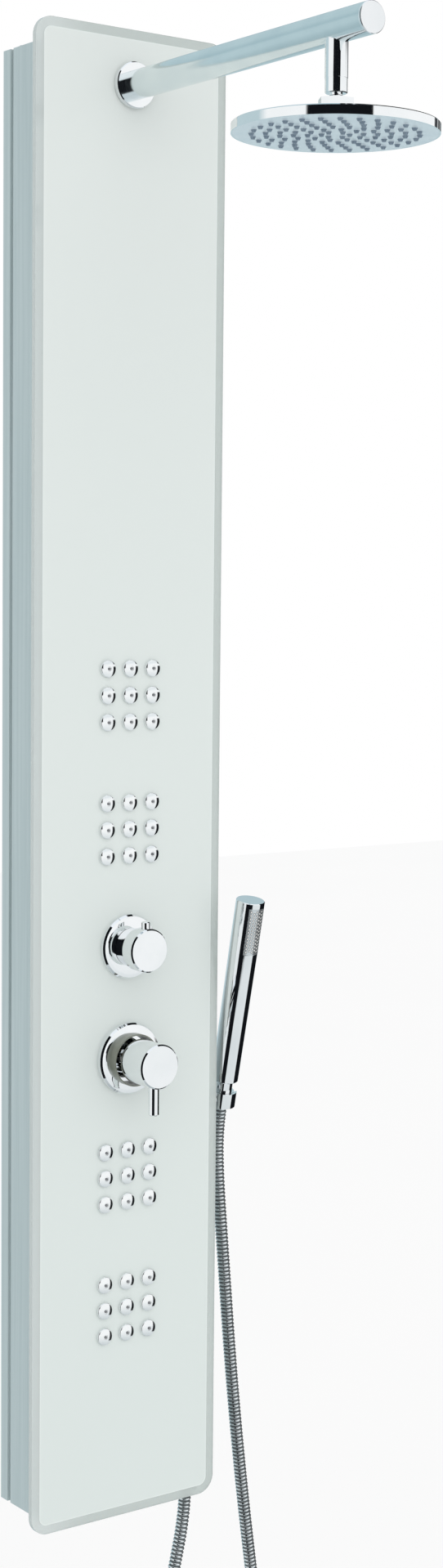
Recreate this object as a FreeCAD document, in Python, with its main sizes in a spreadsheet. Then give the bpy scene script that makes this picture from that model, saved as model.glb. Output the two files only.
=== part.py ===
import FreeCAD, Part

import math
import os
import re

import Sketcher
from FreeCAD import Placement, Rotation, Vector

# Shower panel column for a wall. Millimetres, +Z up, the room is at -Y.
# The origin is the middle of the upper wall bracket's two screws, on the wall face.

doc = FreeCAD.newDocument("ShowerPanelColumn")
sheet = doc.addObject("Spreadsheet::Sheet", "Sizes")

SIZES = [
    # The glass and the casing behind it
    ("panel_width", 240), ("panel_height", 1600), ("corner_radius", 20),
    ("glass_thickness", 6), ("glass_out", 82),
    ("hang_drop", 157), ("lower_bracket_height", 150),
    ("tape_thickness", 1), ("tape_width", 12),
    ("casing_width", 218), ("casing_rise", 17), ("casing_top_gap", 23),
    ("casing_wall", 2), ("lip_width", 14), ("cap_thickness", 3),
    ("groove_out", 14), ("groove_width", 6), ("groove_depth", 3),
    ("port_radius", 4.2), ("port_inset", 58), ("cap_screw_radius", 1.6), ("cap_screw_length", 14),
    ("cap_screw_head_radius", 3.2), ("cap_screw_head", 1.8),
    # Hanging on the wall
    ("bracket_width", 172), ("bracket_thickness", 2), ("hook_spacing", 90),
    ("hook_width", 26), ("hook_height", 10), ("hook_rise", 45),
    ("bracket_foot", 14), ("screw_spacing", 120), ("screw_slot_width", 6),
    ("screw_slot_length", 12), ("hanger_thickness", 2.5), ("hanger_height", 60),
    ("hanger_slot_play", 2), ("hook_gap", 0.4),
    # The arm and its neck
    ("arm_drop", 34.5), ("arm_radius", 15.2), ("arm_wall", 2.2), ("arm_reach", 392.5),
    ("arm_cap_thickness", 3), ("arm_spigot", 8), ("flange_radius", 24), ("flange_thickness", 7),
    ("gasket_thickness", 1), ("tail_radius", 10), ("tail_bore", 7), ("backnut_radius", 15),
    ("backnut_thickness", 6), ("neck_set_back", 52.5), ("neck_radius", 11), ("neck_bore", 7),
    ("neck_drop", 47),
    # The ball joint and the rain head
    ("connector_radius", 10.7), ("connector_length", 14), ("stem_radius", 6),
    ("stem_length", 12.3), ("ball_radius", 12), ("ball_bore", 4),
    ("liner_wall", 0.6), ("ball_play", 0.3), ("nut_flats", 31), ("nut_top", 7.5),
    ("nut_bottom", 3.5), ("thread_radius", 14.2),
    ("hub_radius", 15.2), ("head_radius", 98.7), ("rim_height", 9.4), ("head_crown", 4),
    ("head_wall", 1.6), ("head_drop", 15.6), ("plate_thickness", 3),
    ("nozzle_drop", 2.4), ("nozzle_base", 3.1), ("nozzle_tip", 2.0), ("nozzle_ring_step", 13.2),
    # The body jets
    ("jet_pitch", 28.6), ("upper_jets_step", 143.9), ("jets_above_diverter", 127.4),
    ("jets_below_mixer", 129.7), ("lower_jets_step", 146.2), ("jet_radius", 9.2), ("jet_rim", 1.6),
    ("jet_dome", 5.4),
    ("jet_crown_radius", 5), ("jet_barrel_radius", 6), ("jet_play", 0.4),
    ("jet_nozzle_radius", 1.7), ("jet_nozzle_length", 0.8), ("manifold_width", 92),
    ("manifold_out", 72), ("manifold_depth", 20), ("manifold_corner", 8),
    # The diverter above and the mixer below
    ("diverter_height", 631.5), ("valve_spacing", 122),
    ("diverter_rosette_radius", 35), ("diverter_rosette_thickness", 7),
    ("mixer_rosette_radius", 39), ("mixer_rosette_thickness", 9), ("rosette_bevel", 3),
    ("knob_radius", 23.5), ("knob_out", 124), ("knob_length", 18), ("hub_skirt_radius", 21),
    ("knob_wall", 3), ("skirt_gap", 0.6), ("edge_round", 1.5), ("marker_radius", 4.7),
    ("marker_length", 8), ("marker_set_back", 8), ("handle_radius", 24.2),
    ("handle_out", 145), ("handle_length", 39), ("sleeve_radius", 28.5), ("sleeve_wall", 1.5),
    ("sleeve_length", 10), ("lever_radius", 5.9), ("lever_length", 31), ("lever_set_back", 12),
    ("pivot_out", 101), ("pivot_block_radius", 5), ("pivot_block_width", 16), ("pivot_radius", 2),
    ("lug_width", 4), ("spindle_radius", 4), ("cartridge_radius", 17.5), ("cartridge_length", 36),
    ("nose_radius", 10), ("nose_length", 8), ("stem_depth", 20), ("knob_stem_length", 52),
    ("knob_boss_radius", 8), ("knob_boss_length", 20), ("valve_radius", 22), ("valve_depth", 46),
    ("valve_arm_radius", 8), ("valve_arm_bore", 5), ("valve_arm_length", 28), ("rosette_hole", 12),
    ("port_out", 45), ("feed_out", 60), ("running_gap", 0.06),
    # The pipes
    ("pipe_radius", 6), ("pipe_wall", 1), ("inlet_spacing", 150), ("inlet_height", 330),
    ("inlet_block_radius", 11), ("inlet_block_half", 13.3), ("nipple_radius", 10.48),
    ("nipple_bore", 7), ("nipple_back", 12), ("nipple_length", 22),
    ("check_valve_radius", 9),
    ("check_valve_length", 24), ("supply_boss", 12), ("feed_x", 62), ("stub_radius", 4.5),
    ("elbow_radius", 12), ("elbow_boss", 18), ("outlet_elbow_height", 34),
    # The outlet, the holder and the stick handset
    ("outlet_x", 97), ("outlet_stem_radius", 8), ("hose_nut_radius", 11.5),
    ("hose_nut_length", 16.2), ("hose_nut_floor", 6), ("holder_x", 142), ("handset_lean", 12.3),
    ("foot_out", 67.4), ("foot_height", 466.8), ("handset_radius", 16),
    ("handset_foot_radius", 15), ("handset_length", 213.5), ("handset_wall", 2.2),
    ("handset_cap_thickness", 3), ("handset_cap_spigot", 2.6), ("handset_floor", 4), ("handset_bore", 5),
    ("spigot_radius", 9.8), ("spigot_length", 12.5), ("spigot_thread_radius", 8),
    ("spigot_thread_length", 11.5), ("cone_top_radius", 12.6), ("cone_bottom_radius", 10.8),
    ("cone_length", 19), ("cone_floor", 7), ("holder_drop", 0.2),
    ("holder_radius", 15.6), ("holder_length", 17.4), ("holder_play", 0.3),
    ("holder_slot", 16), ("holder_arm_radius", 8.2), ("holder_base_radius", 11),
    ("holder_base_thickness", 4), ("holder_screw_radius", 3), ("spray_length", 54),
    ("spray_from_top", 6), ("spray_angle", 76), ("spray_inset", 0.8),
    # The hose
    ("hose_radius", 7.2), ("hose_bore", 4.2), ("hose_rib", 0.9), ("hose_ribs", 84), ("hose_play", 0.1),
]

# Heights and reaches that follow from the sizes above
WORKED_OUT = {
    "casing_height": "(panel_height - casing_rise - casing_top_gap)",
    "hang_height": "(casing_rise + casing_height - hang_drop)",
    "arm_height": "(casing_rise + casing_height - arm_drop)",
    "neck_reach": "(arm_reach - neck_set_back)",
    "mixer_height": "(diverter_height - valve_spacing)",
    "jet_row_2": "(diverter_height + jets_above_diverter)",
    "jet_row_1": "(jet_row_2 + upper_jets_step)",
    "jet_row_3": "(mixer_height - jets_below_mixer)",
    "jet_row_4": "(jet_row_3 - lower_jets_step)",
}

for row, (alias, number) in enumerate(SIZES, start=1):
    sheet.set("A%d" % row, alias)
    sheet.set("B%d" % row, str(number))
    sheet.setAlias("B%d" % row, alias)
doc.recompute()

ALIASES = {alias for alias, number in SIZES}
WORDS = re.compile(r"[a-z_]+[a-z0-9_]*")


def linked(text):
    """An expression on the sheet's cells, from the plain names of the sizes."""
    def cell(match):
        word = match.group(0)
        if word in WORKED_OUT:
            return linked(WORKED_OUT[word])
        return "Sizes." + word if word in ALIASES else word

    return WORDS.sub(cell, text)


def value(text):
    """What an expression on the sizes comes to."""
    answer = sheet.evalExpression(linked(text))
    return float(getattr(answer, "Value", answer))


def bind(thing, **expressions):
    """Ties properties of an object to the sheet."""
    for name, text in expressions.items():
        thing.setExpression(name.replace("__", "."), linked(text))


def place(thing, x="0", out="0", up="0", turn=None):
    """Puts a sub-part at x, at a distance out from the wall and at a height above the glass's lower edge."""
    if turn is not None:
        thing.Placement = Placement(Vector(), turn)
    bind(thing, Placement__Base__x=x, Placement__Base__y="-(%s)" % out)
    bind(thing, Placement__Base__z="%s - hang_height" % up)


FACING = Rotation(Vector(1, 0, 0), 90)  # local z points out of the wall, local y points up
SIDEWAYS = Rotation(Vector(0, 1, 0), 90)  # local z points to the right


def body(label, **where):
    """A new body with its own label, standing where it belongs."""
    new = doc.addObject("PartDesign::Body", label)
    new.Label = label
    place(new, **where)
    return new


def sketch(owner, loops=(), circles=(), plane="XY_Plane", lift="0"):
    """A sketch of closed polygons and circles whose every coordinate is tied to the sheet."""
    base = [f for f in owner.Origin.OriginFeatures if f.Role == plane][0]
    drawing = owner.newObject("Sketcher::SketchObject", owner.Name + "_sketch")
    drawing.AttachmentSupport = [(base, "")]
    drawing.MapMode = "FlatFace"
    bind(drawing, AttachmentOffset__Base__z=lift)
    for loop in loops:
        corners = [Vector(value(x), value(y), 0) for x, y in loop]
        first = drawing.GeometryCount
        count = len(corners)
        for i in range(count):
            drawing.addGeometry(Part.LineSegment(corners[i], corners[(i + 1) % count]))
        for i in range(count):
            drawing.addConstraint(Sketcher.Constraint("Coincident", first + i, 2, first + (i + 1) % count, 1))
        for i, (x, y) in enumerate(loop):
            tie(drawing, first + i, 1, x, y)
    for x, y, radius in circles:
        centre = Vector(value(x), value(y), 0)
        ring = drawing.addGeometry(Part.Circle(centre, Vector(0, 0, 1), value(radius)))
        index = drawing.addConstraint(Sketcher.Constraint("Radius", ring, value(radius)))
        drawing.setExpression("Constraints[%d]" % index, linked(radius))
        tie(drawing, ring, 3, x, y)
    return drawing


def tie(drawing, geometry, point, x, y):
    """Ties one point of a sketch to its two coordinates."""
    for kind, text, axis in (("DistanceX", x, -2), ("DistanceY", y, -1)):
        if text == "0":
            drawing.addConstraint(Sketcher.Constraint("PointOnObject", geometry, point, axis))
        else:
            index = drawing.addConstraint(Sketcher.Constraint(kind, -1, 1, geometry, point, value(text)))
            drawing.setExpression("Constraints[%d]" % index, linked(text))


def rectangle(x0, y0, x1, y1):
    """The four corners of an upright rectangle."""
    return [(x0, y0), (x1, y0), (x1, y1), (x0, y1)]


def pad(owner, drawing, length, name="pad"):
    """Raises a sketch along its normal."""
    feature = owner.newObject("PartDesign::Pad", owner.Name + "_" + name)
    feature.Profile = drawing
    bind(feature, Length=length)
    drawing.Visibility = False
    doc.recompute()
    return feature


def pocket(owner, drawing, length, backwards=False, name="pocket"):
    """Cuts a sketch into the body, and makes sure that it really cuts."""
    before = owner.Shape.Volume
    feature = owner.newObject("PartDesign::Pocket", owner.Name + "_" + name)
    feature.Profile = drawing
    feature.Reversed = backwards
    bind(feature, Length=length)
    doc.recompute()
    if not owner.Shape.Volume < before - 0.01:
        raise RuntimeError(owner.Name + ": a pocket cuts nothing")
    return feature


def revolve(owner, loop, name="turned"):
    """Turns a half profile of (radius, height) about the body's own z axis."""
    drawing = sketch(owner, loops=[loop], plane="XZ_Plane")
    feature = owner.newObject("PartDesign::Revolution", owner.Name + "_" + name)
    feature.Profile = drawing
    feature.ReferenceAxis = (drawing, ["V_Axis"])
    feature.Angle = 360
    doc.recompute()
    return feature


def turned(label, loop, **where):
    """A body made of one turned profile."""
    new = body(label, **where)
    revolve(new, loop)
    return new


def tube(label, outer, inner, length, **where):
    """A straight tube or ring along the body's z axis."""
    new = body(label, **where)
    pad(new, sketch(new, circles=[("0", "0", outer), ("0", "0", inner)]), length)
    return new


def round_edges(owner, radius, chosen):
    """Rounds those edges of a body's tip that the test picks."""
    tip = owner.Tip
    names = ["Edge%d" % (i + 1) for i, edge in enumerate(tip.Shape.Edges) if chosen(edge)]
    feature = owner.newObject("PartDesign::Fillet", owner.Name + "_round")
    feature.Base = (tip, names)
    bind(feature, Radius=radius)
    doc.recompute()
    return feature


def feature(label, shape, **where):
    """A sub-part whose shape is made by functions, and placed afterwards."""
    new = doc.addObject("Part::Feature", label)
    new.Label = label
    new.Shape = shape
    place(new, **where)
    return new


def polygon(radius, z, sides, x=0, y=0):
    """The corners of a regular polygon across the z axis, from numbers."""
    return [Vector(x + radius * math.cos(2 * math.pi * k / sides), y + radius * math.sin(2 * math.pi * k / sides), z)
            for k in range(sides)]


def faceted(rings):
    """A solid with flat sides between rings of corners, closed by the first ring and the last."""
    faces = [Part.Face(Part.makePolygon(ring + ring[:1])) for ring in (rings[0], rings[-1])]
    for low, high in zip(rings, rings[1:]):
        for k in range(len(low)):
            corners = [low[k - 1], low[k], high[k], high[k - 1]]
            faces.append(Part.Face(Part.makePolygon(corners + corners[:1])))
    solid = Part.makeSolid(Part.makeShell(faces))
    return solid if solid.Volume > 0 else solid.reversed()


def hexagon(label, flats, bore, length, **where):
    """A hexagon nut with a plain bore."""
    new = body(label, **where)
    corner = "(%s) / 1.7320508" % flats
    half = "(%s) / 2" % flats
    points = [(corner, "0")]
    points += [("(%s) / 2" % corner, half), ("-(%s) / 2" % corner, half)]
    points += [("-(%s)" % corner, "0")]
    points += [("-(%s) / 2" % corner, "-(%s)" % half), ("(%s) / 2" % corner, "-(%s)" % half)]
    pad(new, sketch(new, loops=[points], circles=[("0", "0", bore)]), length)
    return new


# ---- The glass front and the casing ----

JET_ROWS = ["jet_row_1", "jet_row_2", "jet_row_3", "jet_row_4"]


def jet_centres():
    """The 36 jets as pairs of expressions, three by three in each group."""
    columns = ["-jet_pitch", "0", "jet_pitch"]
    return [(column, "%s + %d * jet_pitch" % (group, row))
            for group in JET_ROWS for row in (-1, 0, 1) for column in columns]


HOLE_SIDES = 12


def glass_panel():
    """The front pane, with its corners rounded and a hole for each thing that passes through."""
    pane = body("glass_pane", out="glass_out - glass_thickness", turn=FACING)
    outline = rectangle("-panel_width / 2", "0", "panel_width / 2", "panel_height")
    pad(pane, sketch(pane, loops=[outline]), "glass_thickness")
    thickness = value("glass_thickness")

    def corner(edge):
        return abs(edge.Length - thickness) < 1e-4 and abs(edge.BoundBox.ZLength - thickness) < 1e-4

    round_edges(pane, "corner_radius", corner)
    holes = [("0", "arm_height", "tail_radius + jet_play"), ("0", "diverter_height", "valve_radius + jet_play"),
             ("0", "mixer_height", "valve_radius + jet_play")]
    pocket(pane, sketch(pane, circles=holes), "glass_thickness", backwards=True)
    cutters = []
    for x, z in jet_centres():
        cutter = doc.addObject("Part::Prism", "jet_hole")
        cutter.Polygon = HOLE_SIDES
        bind(cutter, Circumradius="jet_barrel_radius + 2 * jet_play", Height="glass_thickness + 2")
        place(cutter, x=x, out="glass_out - glass_thickness - 1", up=z, turn=FACING)
        cutters.append(cutter)
    glass = doc.addObject("Part::Cut", "glass_panel")
    glass.Label = "glass_panel"
    glass.Base = pane
    glass.Tool = grouped("jet_holes", cutters)
    doc.recompute()


def bonding_tape():
    """Two upright strips of tape that hold the glass to the casing."""
    tape = body("bonding_tape", out="glass_out - glass_thickness - tape_thickness", turn=FACING)
    low = "casing_rise + 10"
    high = "casing_rise + casing_height - 10"
    outer = "casing_width / 2 - 6"
    inner = "casing_width / 2 - 6 - tape_width"
    right = rectangle(inner, low, outer, high)
    left = rectangle("-(%s)" % outer, low, "-(%s)" % inner, high)
    tape.AllowCompound = True
    pad(tape, sketch(tape, loops=[right, left]), "tape_thickness")


def mirrored(half):
    """A profile and its mirror image across x = 0, as one closed loop."""
    return half + [("-(%s)" % x, y) for x, y in reversed(half)]


CASING_OUT = "(glass_out - glass_thickness - tape_thickness)"


def casing_side(grow="0"):
    """The outer line of the casing's right side, from the front to the wall, with its shadow groove."""
    edge = "casing_width / 2 - %s" % grow
    floor = "casing_width / 2 - groove_depth - %s" % grow
    near = "-(groove_out - %s)" % grow
    far = "-(groove_out + groove_width + %s)" % grow
    return [(edge, "-(%s - %s)" % (CASING_OUT, grow)), (edge, far), (floor, far), (floor, near), (edge, near)]


def casing_profile():
    """The extruded casing: a channel open to the wall, with lips, shadow grooves and four screw ports."""
    casing = body("casing_profile", up="casing_rise + cap_thickness")
    outside = casing_side() + [("casing_width / 2", "0"), ("casing_width / 2 - lip_width", "0")]
    inside = [("casing_width / 2 - lip_width", "-casing_wall"), ("casing_width / 2 - casing_wall", "-casing_wall")]
    inside += list(reversed(casing_side("casing_wall")))
    length = "casing_height - 2 * cap_thickness"
    pad(casing, sketch(casing, loops=[mirrored(outside + inside)]), length)
    pad(casing, sketch(casing, circles=[(x, y, "port_radius") for x, y in port_places()]), length, name="ports")
    screw_holes = [(x, y, "cap_screw_radius") for x, y in port_places()]
    pocket(casing, sketch(casing, circles=screw_holes), length, backwards=True, name="screw_holes")
    cut_front_openings(casing)


def port_places():
    """The four screw ports, seen from above: two on the front wall and one on each side wall."""
    near = "(casing_width / 2 - port_inset)"
    side = "(casing_width / 2 - casing_wall - port_radius + 1)"
    front = "-(%s - casing_wall - port_radius + 1)" % CASING_OUT
    back = "-(groove_out + groove_width + casing_wall + port_radius + 2)"
    return [(near, front), ("-" + near, front), (side, back), ("-" + side, back)]


def cut_front_openings(casing):
    """Windows in the casing's front wall for the jets, the arm and the two valves."""
    shift = "- casing_rise - cap_thickness"
    half = "(manifold_width / 2 - 4)"
    windows = []
    for group in JET_ROWS:
        middle = "%s %s" % (group, shift)
        windows.append(rectangle("-" + half, "%s - %s" % (middle, half), half, "%s + %s" % (middle, half)))
    circles = [("0", "arm_height " + shift, "tail_radius + jet_play")]
    circles.append(("0", "diverter_height " + shift, "valve_radius + jet_play"))
    circles.append(("0", "mixer_height " + shift, "valve_radius + jet_play"))
    drawing = sketch(casing, loops=windows, circles=circles, plane="XZ_Plane", lift=CASING_OUT)
    pocket(casing, drawing, "casing_wall + 2", name="windows")
    screw_hole = [("-(%s)" % HOLDER_OUT, "%s %s" % (HOLDER_UP, shift), "holder_screw_radius + 0.3")]
    side_drawing = sketch(casing, circles=screw_hole, plane="YZ_Plane", lift="casing_width / 2 + 1")
    pocket(casing, side_drawing, "casing_wall + 2", name="holder_hole")


def cap(label, low, holes):
    """One end cap of the casing, cut to the casing's outline."""
    plate = body(label, up=low)
    corners = casing_side() + [("casing_width / 2", "0")]
    pad(plate, sketch(plate, loops=[mirrored(corners)]), "cap_thickness")
    screws = [(x, y, "cap_screw_radius") for x, y in port_places()]
    pocket(plate, sketch(plate, circles=screws + holes), "cap_thickness", backwards=True)


def cap_screws():
    """Eight pan-head screws, four in each end cap."""
    top = value("casing_rise + casing_height - hang_height")
    bottom = value("casing_rise - hang_height")
    radius, length = value("cap_screw_radius"), value("cap_screw_length")
    head_radius, head = value("cap_screw_head_radius"), value("cap_screw_head")
    shank = faceted([polygon(radius, -length, 6), polygon(radius, 0, 6)])
    screw = shank.fuse(faceted([polygon(head_radius, 0, 8), polygon(0.7 * head_radius, head, 8)]))
    screws = []
    for x, y in port_places():
        for level, turn in ((top, Rotation()), (bottom, Rotation(Vector(1, 0, 0), 180))):
            one = screw.copy()
            one.Placement = Placement(Vector(value(x), value(y), level), turn)
            screws.append(one)
    screws_node = doc.addObject("Part::Feature", "cap_screws")
    screws_node.Label = "cap_screws"
    screws_node.Shape = Part.makeCompound(screws)


# ---- Hanging on the wall ----

def wall_bracket(label, height):
    """A steel plate with two slots for the wall's screws and two hooks for the casing."""
    plate = body(label, up=height, turn=FACING)
    half = "bracket_width / 2"
    outline = rectangle("-" + half, "-bracket_foot", half, "hook_rise + 6")
    pad(plate, sketch(plate, loops=[outline]), "bracket_thickness")
    slots = []
    for side in (-1, 1):
        x = "%d * screw_spacing / 2" % side
        reach = "(screw_slot_length - screw_slot_width) / 2"
        slots.append(rectangle("%s - %s" % (x, reach), "-screw_slot_width / 2",
                               "%s + %s" % (x, reach), "screw_slot_width / 2"))
        for end in (-1, 1):
            centre = "%s + %d * %s" % (x, end, reach)
            hole = sketch(plate, circles=[(centre, "0", "screw_slot_width / 2")])
            pocket(plate, hole, "bracket_thickness", backwards=True, name="slot_end")
    pocket(plate, sketch(plate, loops=slots), "bracket_thickness", backwards=True, name="slots")
    arms, tips = [], []
    for side in (-1, 1):
        low = "%d * hook_spacing / 2 - hook_width / 2" % side
        high = "%d * hook_spacing / 2 + hook_width / 2" % side
        arms.append(rectangle(low, "hook_rise - bracket_thickness", high, "hook_rise"))
        tips.append(rectangle(low, "hook_rise - bracket_thickness", high, "hook_rise + hook_height"))
    leg_from = "bracket_thickness + hanger_thickness + hook_gap"
    pad(plate, sketch(plate, loops=arms), leg_from, name="hook_arms")
    pad(plate, sketch(plate, loops=tips, lift=leg_from), "bracket_thickness", name="hook_tips")


def hanger_plate(label, height):
    """The plate across the casing whose two slots drop over the bracket's hooks."""
    plate = body(label, out="bracket_thickness", up=height, turn=FACING)
    half = "(casing_width / 2 - casing_wall)"
    middle = "hook_rise"
    outline = rectangle("-" + half, "%s - hanger_height / 2" % middle, half, "%s + hanger_height / 2" % middle)
    pad(plate, sketch(plate, loops=[outline]), "hanger_thickness")
    slots = []
    for side in (-1, 1):
        low = "%d * hook_spacing / 2 - hook_width / 2 - hanger_slot_play" % side
        high = "%d * hook_spacing / 2 + hook_width / 2 + hanger_slot_play" % side
        slots.append(rectangle(low, "hook_rise - hook_height - 2 * hanger_slot_play", high, "hook_rise"))
    pocket(plate, sketch(plate, loops=slots), "hanger_thickness", backwards=True, name="slots")


# ---- The arm, its neck and the ball joint ----

def arm_parts():
    """Flange, gasket, arm, end cap, neck, and what holds and feeds the arm behind the glass."""
    tube("arm_gasket", "flange_radius - 3", "tail_radius + jet_play", "gasket_thickness",
         out="glass_out", up="arm_height", turn=FACING)
    flange = turned("arm_flange", [
        ("tail_radius", "gasket_thickness"), ("flange_radius", "gasket_thickness"),
        ("flange_radius", "flange_thickness - 1"), ("flange_radius - 1", "flange_thickness"),
        ("arm_radius", "flange_thickness"), ("arm_radius", "flange_thickness - 3"),
        ("tail_radius", "flange_thickness - 3")], out="glass_out", up="arm_height", turn=FACING)
    root = "glass_out + flange_thickness - 3"
    arm = turned("shower_arm", [
        ("tail_bore", "0"), ("arm_radius", "0"),
        ("arm_radius", "arm_reach - arm_cap_thickness - flange_thickness + 3"),
        ("arm_radius - arm_wall", "arm_reach - arm_cap_thickness - flange_thickness + 3"),
        ("arm_radius - arm_wall", "4"), ("tail_bore", "4")], out=root, up="arm_height", turn=FACING)
    outlet = sketch(arm, circles=[("0", "neck_reach - flange_thickness + 3", "neck_bore")], plane="XZ_Plane")
    pocket(arm, outlet, "arm_radius + 1", name="neck_hole", backwards=True)
    turned("arm_end_cap", [
        ("0", "-arm_spigot"), ("arm_radius - arm_wall", "-arm_spigot"), ("arm_radius - arm_wall", "0"),
        ("arm_radius", "0"), ("arm_radius", "arm_cap_thickness - 0.6"),
        ("arm_radius - 0.6", "arm_cap_thickness"), ("0", "arm_cap_thickness")],
        out="glass_out + arm_reach - arm_cap_thickness", up="arm_height", turn=FACING)
    tube("arm_tail", "tail_radius", "tail_bore",
         "glass_thickness + tape_thickness + casing_wall + backnut_thickness + 8 + flange_thickness - 3",
         out="glass_out - glass_thickness - tape_thickness - casing_wall - backnut_thickness - 8",
         up="arm_height", turn=FACING)
    hexagon("arm_backnut", "2 * backnut_radius", "tail_radius", "backnut_thickness",
            out="glass_out - glass_thickness - tape_thickness - casing_wall - backnut_thickness",
            up="arm_height", turn=FACING)
    neck = body("arm_neck", out="glass_out + neck_reach", up="arm_height - neck_drop")
    pad(neck, sketch(neck, circles=[("0", "0", "neck_radius"), ("0", "0", "neck_bore")]), "neck_drop")
    saddle = sketch(neck, circles=[("0", "neck_drop", "arm_radius")], plane="XZ_Plane", lift="-2 * neck_radius")
    pocket(neck, saddle, "4 * neck_radius", backwards=True, name="saddle")


BALL_HEIGHT = "arm_height - neck_drop - connector_length - stem_length"
HEAD_PLACE = {"out": "glass_out + neck_reach", "up": BALL_HEIGHT}
PLATE_HEIGHT = BALL_HEIGHT + " - head_drop - rim_height"


def ball_points(radius, low, high, bands):
    """Half a turned profile: narrow bands that touch a sphere from outside, between two latitudes."""
    step = (high - low) / bands
    reach = "(%s) / cos(%g deg)" % (radius, step / 2)
    return [("%s * cos(%g deg)" % (reach, low + i * step), "%s * sin(%g deg)" % (reach, low + i * step))
            for i in range(bands + 1)]


def ball_joint():
    """The ball under the neck, its two liners and the collar nut around them."""
    ball = ball_points("ball_radius", -70, 60, 8)
    turned("ball_connector", [("ball_bore", ball[0][1])] + ball[:-1] + [
        ("stem_radius", ball[-1][1]), ("stem_radius", "stem_length"),
        ("connector_radius - 0.8", "stem_length"), ("connector_radius", "stem_length + 0.8"),
        ("connector_radius", "stem_length + connector_length"),
        ("ball_bore", "stem_length + connector_length")], **HEAD_PLACE)
    liner("inner_ball_liner", "ball_radius + ball_play", -6, 10)
    liner("outer_ball_liner", "ball_radius + 2 * ball_play + liner_wall", -10, 6)
    corner = "nut_flats / 1.7320508"
    nut = body("collar_nut", **HEAD_PLACE)
    half = "nut_flats / 2"
    points = [(corner, "0"), ("%s / 2" % corner, half), ("-%s / 2" % corner, half), ("-" + corner, "0"),
              ("-%s / 2" % corner, "-" + half), ("%s / 2" % corner, "-" + half)]
    pad(nut, sketch(nut, loops=[points], lift="-nut_bottom"), "nut_top + nut_bottom")
    pocket(nut, sketch(nut, circles=[("0", "0", "thread_radius")], lift="-nut_bottom"),
           "nut_bottom", backwards=True, name="thread")
    seat = ball_points("ball_radius + 3 * ball_play + 2 * liner_wall", 0, 36, 3)
    hollow = nut.newObject("PartDesign::Groove", "liner_seat")
    hollow.Profile = sketch(nut, loops=[[("0", "0")] + seat + [("0", seat[-1][1])]], plane="XZ_Plane")
    hollow.ReferenceAxis = (hollow.Profile[0], ["V_Axis"])
    hollow.Angle = 360
    doc.recompute()


def liner(label, inner, low, high):
    """A thin ring of plastic around the ball, between two parallels."""
    inside = ball_points(inner, low, high, 2)
    outside = ball_points(inner + " + liner_wall", low, high, 2)
    turned(label, inside + outside[::-1], **HEAD_PLACE)


def rain_head():
    """The round head: a crowned shell with its threaded hub, the plate under it and the rubber nozzles."""
    top = "-head_drop + head_crown"
    low = "-head_drop - rim_height"
    turned("head_shell", [
        ("hub_radius - 5", "%s - 2" % top), ("hub_radius - 5", "%s + 3" % top),
        ("thread_radius - 1.1", "-nut_bottom + 0.6"), ("thread_radius", "-nut_bottom + 0.6"),
        ("thread_radius", "-nut_bottom"), ("hub_radius", "-nut_bottom"), ("hub_radius", top), ("head_radius - 14", "-head_drop + 1"),
        ("head_radius - 1", "-head_drop"), ("head_radius", "-head_drop - 1"), ("head_radius", low),
        ("head_radius - head_wall", low), ("head_radius - head_wall", "-head_drop - head_wall"),
        ("head_radius - 14", "-head_drop - head_wall + 1"), ("hub_radius", "%s - 2" % top)], **HEAD_PLACE)
    plate = body("nozzle_plate", out=HEAD_PLACE["out"], up=PLATE_HEIGHT)
    pad(plate, sketch(plate, circles=[("0", "0", "head_radius - head_wall")]), "plate_thickness")


NOZZLE_RINGS = [6, 10, 16, 20, 24, 28]


def head_nozzles():
    """Six-sided rubber nozzles in rings, each ring turned on a little, so that they run in curved rows."""
    step, drop = value("nozzle_ring_step"), value("nozzle_drop")
    base, tip = value("nozzle_base"), value("nozzle_tip")
    nozzles = []
    for ring, count in enumerate(NOZZLE_RINGS, start=1):
        for i in range(count):
            angle = 2 * math.pi * (i + 0.37 * ring) / count
            x, y = ring * step * math.cos(angle), ring * step * math.sin(angle)
            nozzles.append(faceted([polygon(base, 0, 6, x, y), polygon(tip, -drop, 6, x, y)]))
    feature("head_nozzles", Part.makeCompound(nozzles), out=HEAD_PLACE["out"], up=PLATE_HEIGHT)


# ---- The body jets ----

JET_SIDES = 12


def body_jets():
    """36 jets: a shallow dome on the glass, a barrel through it, and a small nozzle on top."""
    rim, dome = value("jet_rim"), value("jet_rim + jet_dome")
    radius, shoulder = value("jet_radius"), value("(jet_radius * 2 + jet_crown_radius) / 3")
    head = faceted([polygon(radius, 0, JET_SIDES), polygon(radius, rim, JET_SIDES),
                    polygon(shoulder, value("jet_rim + jet_dome * 0.62"), JET_SIDES),
                    polygon(value("jet_crown_radius"), dome, JET_SIDES)])
    sunk = value("glass_out - manifold_out")
    barrel = faceted([polygon(value("jet_barrel_radius"), z, 8) for z in (-sunk, 0)])
    one = head.fuse(barrel)
    nozzle = faceted([polygon(value("jet_nozzle_radius"), dome, 6),
                      polygon(value("jet_nozzle_radius * 0.7"), dome + value("jet_nozzle_length"), 6)])
    jets, nozzles = [], []
    for x, z in jet_centres():
        spot = Vector(value(x), value(z), 0)
        jets.append(one.translated(spot))
        nozzles.append(nozzle.translated(spot))
    feature("body_jets", Part.makeCompound(jets), out="glass_out", turn=FACING)
    feature("jet_nozzles", Part.makeCompound(nozzles), out="glass_out", turn=FACING)


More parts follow.
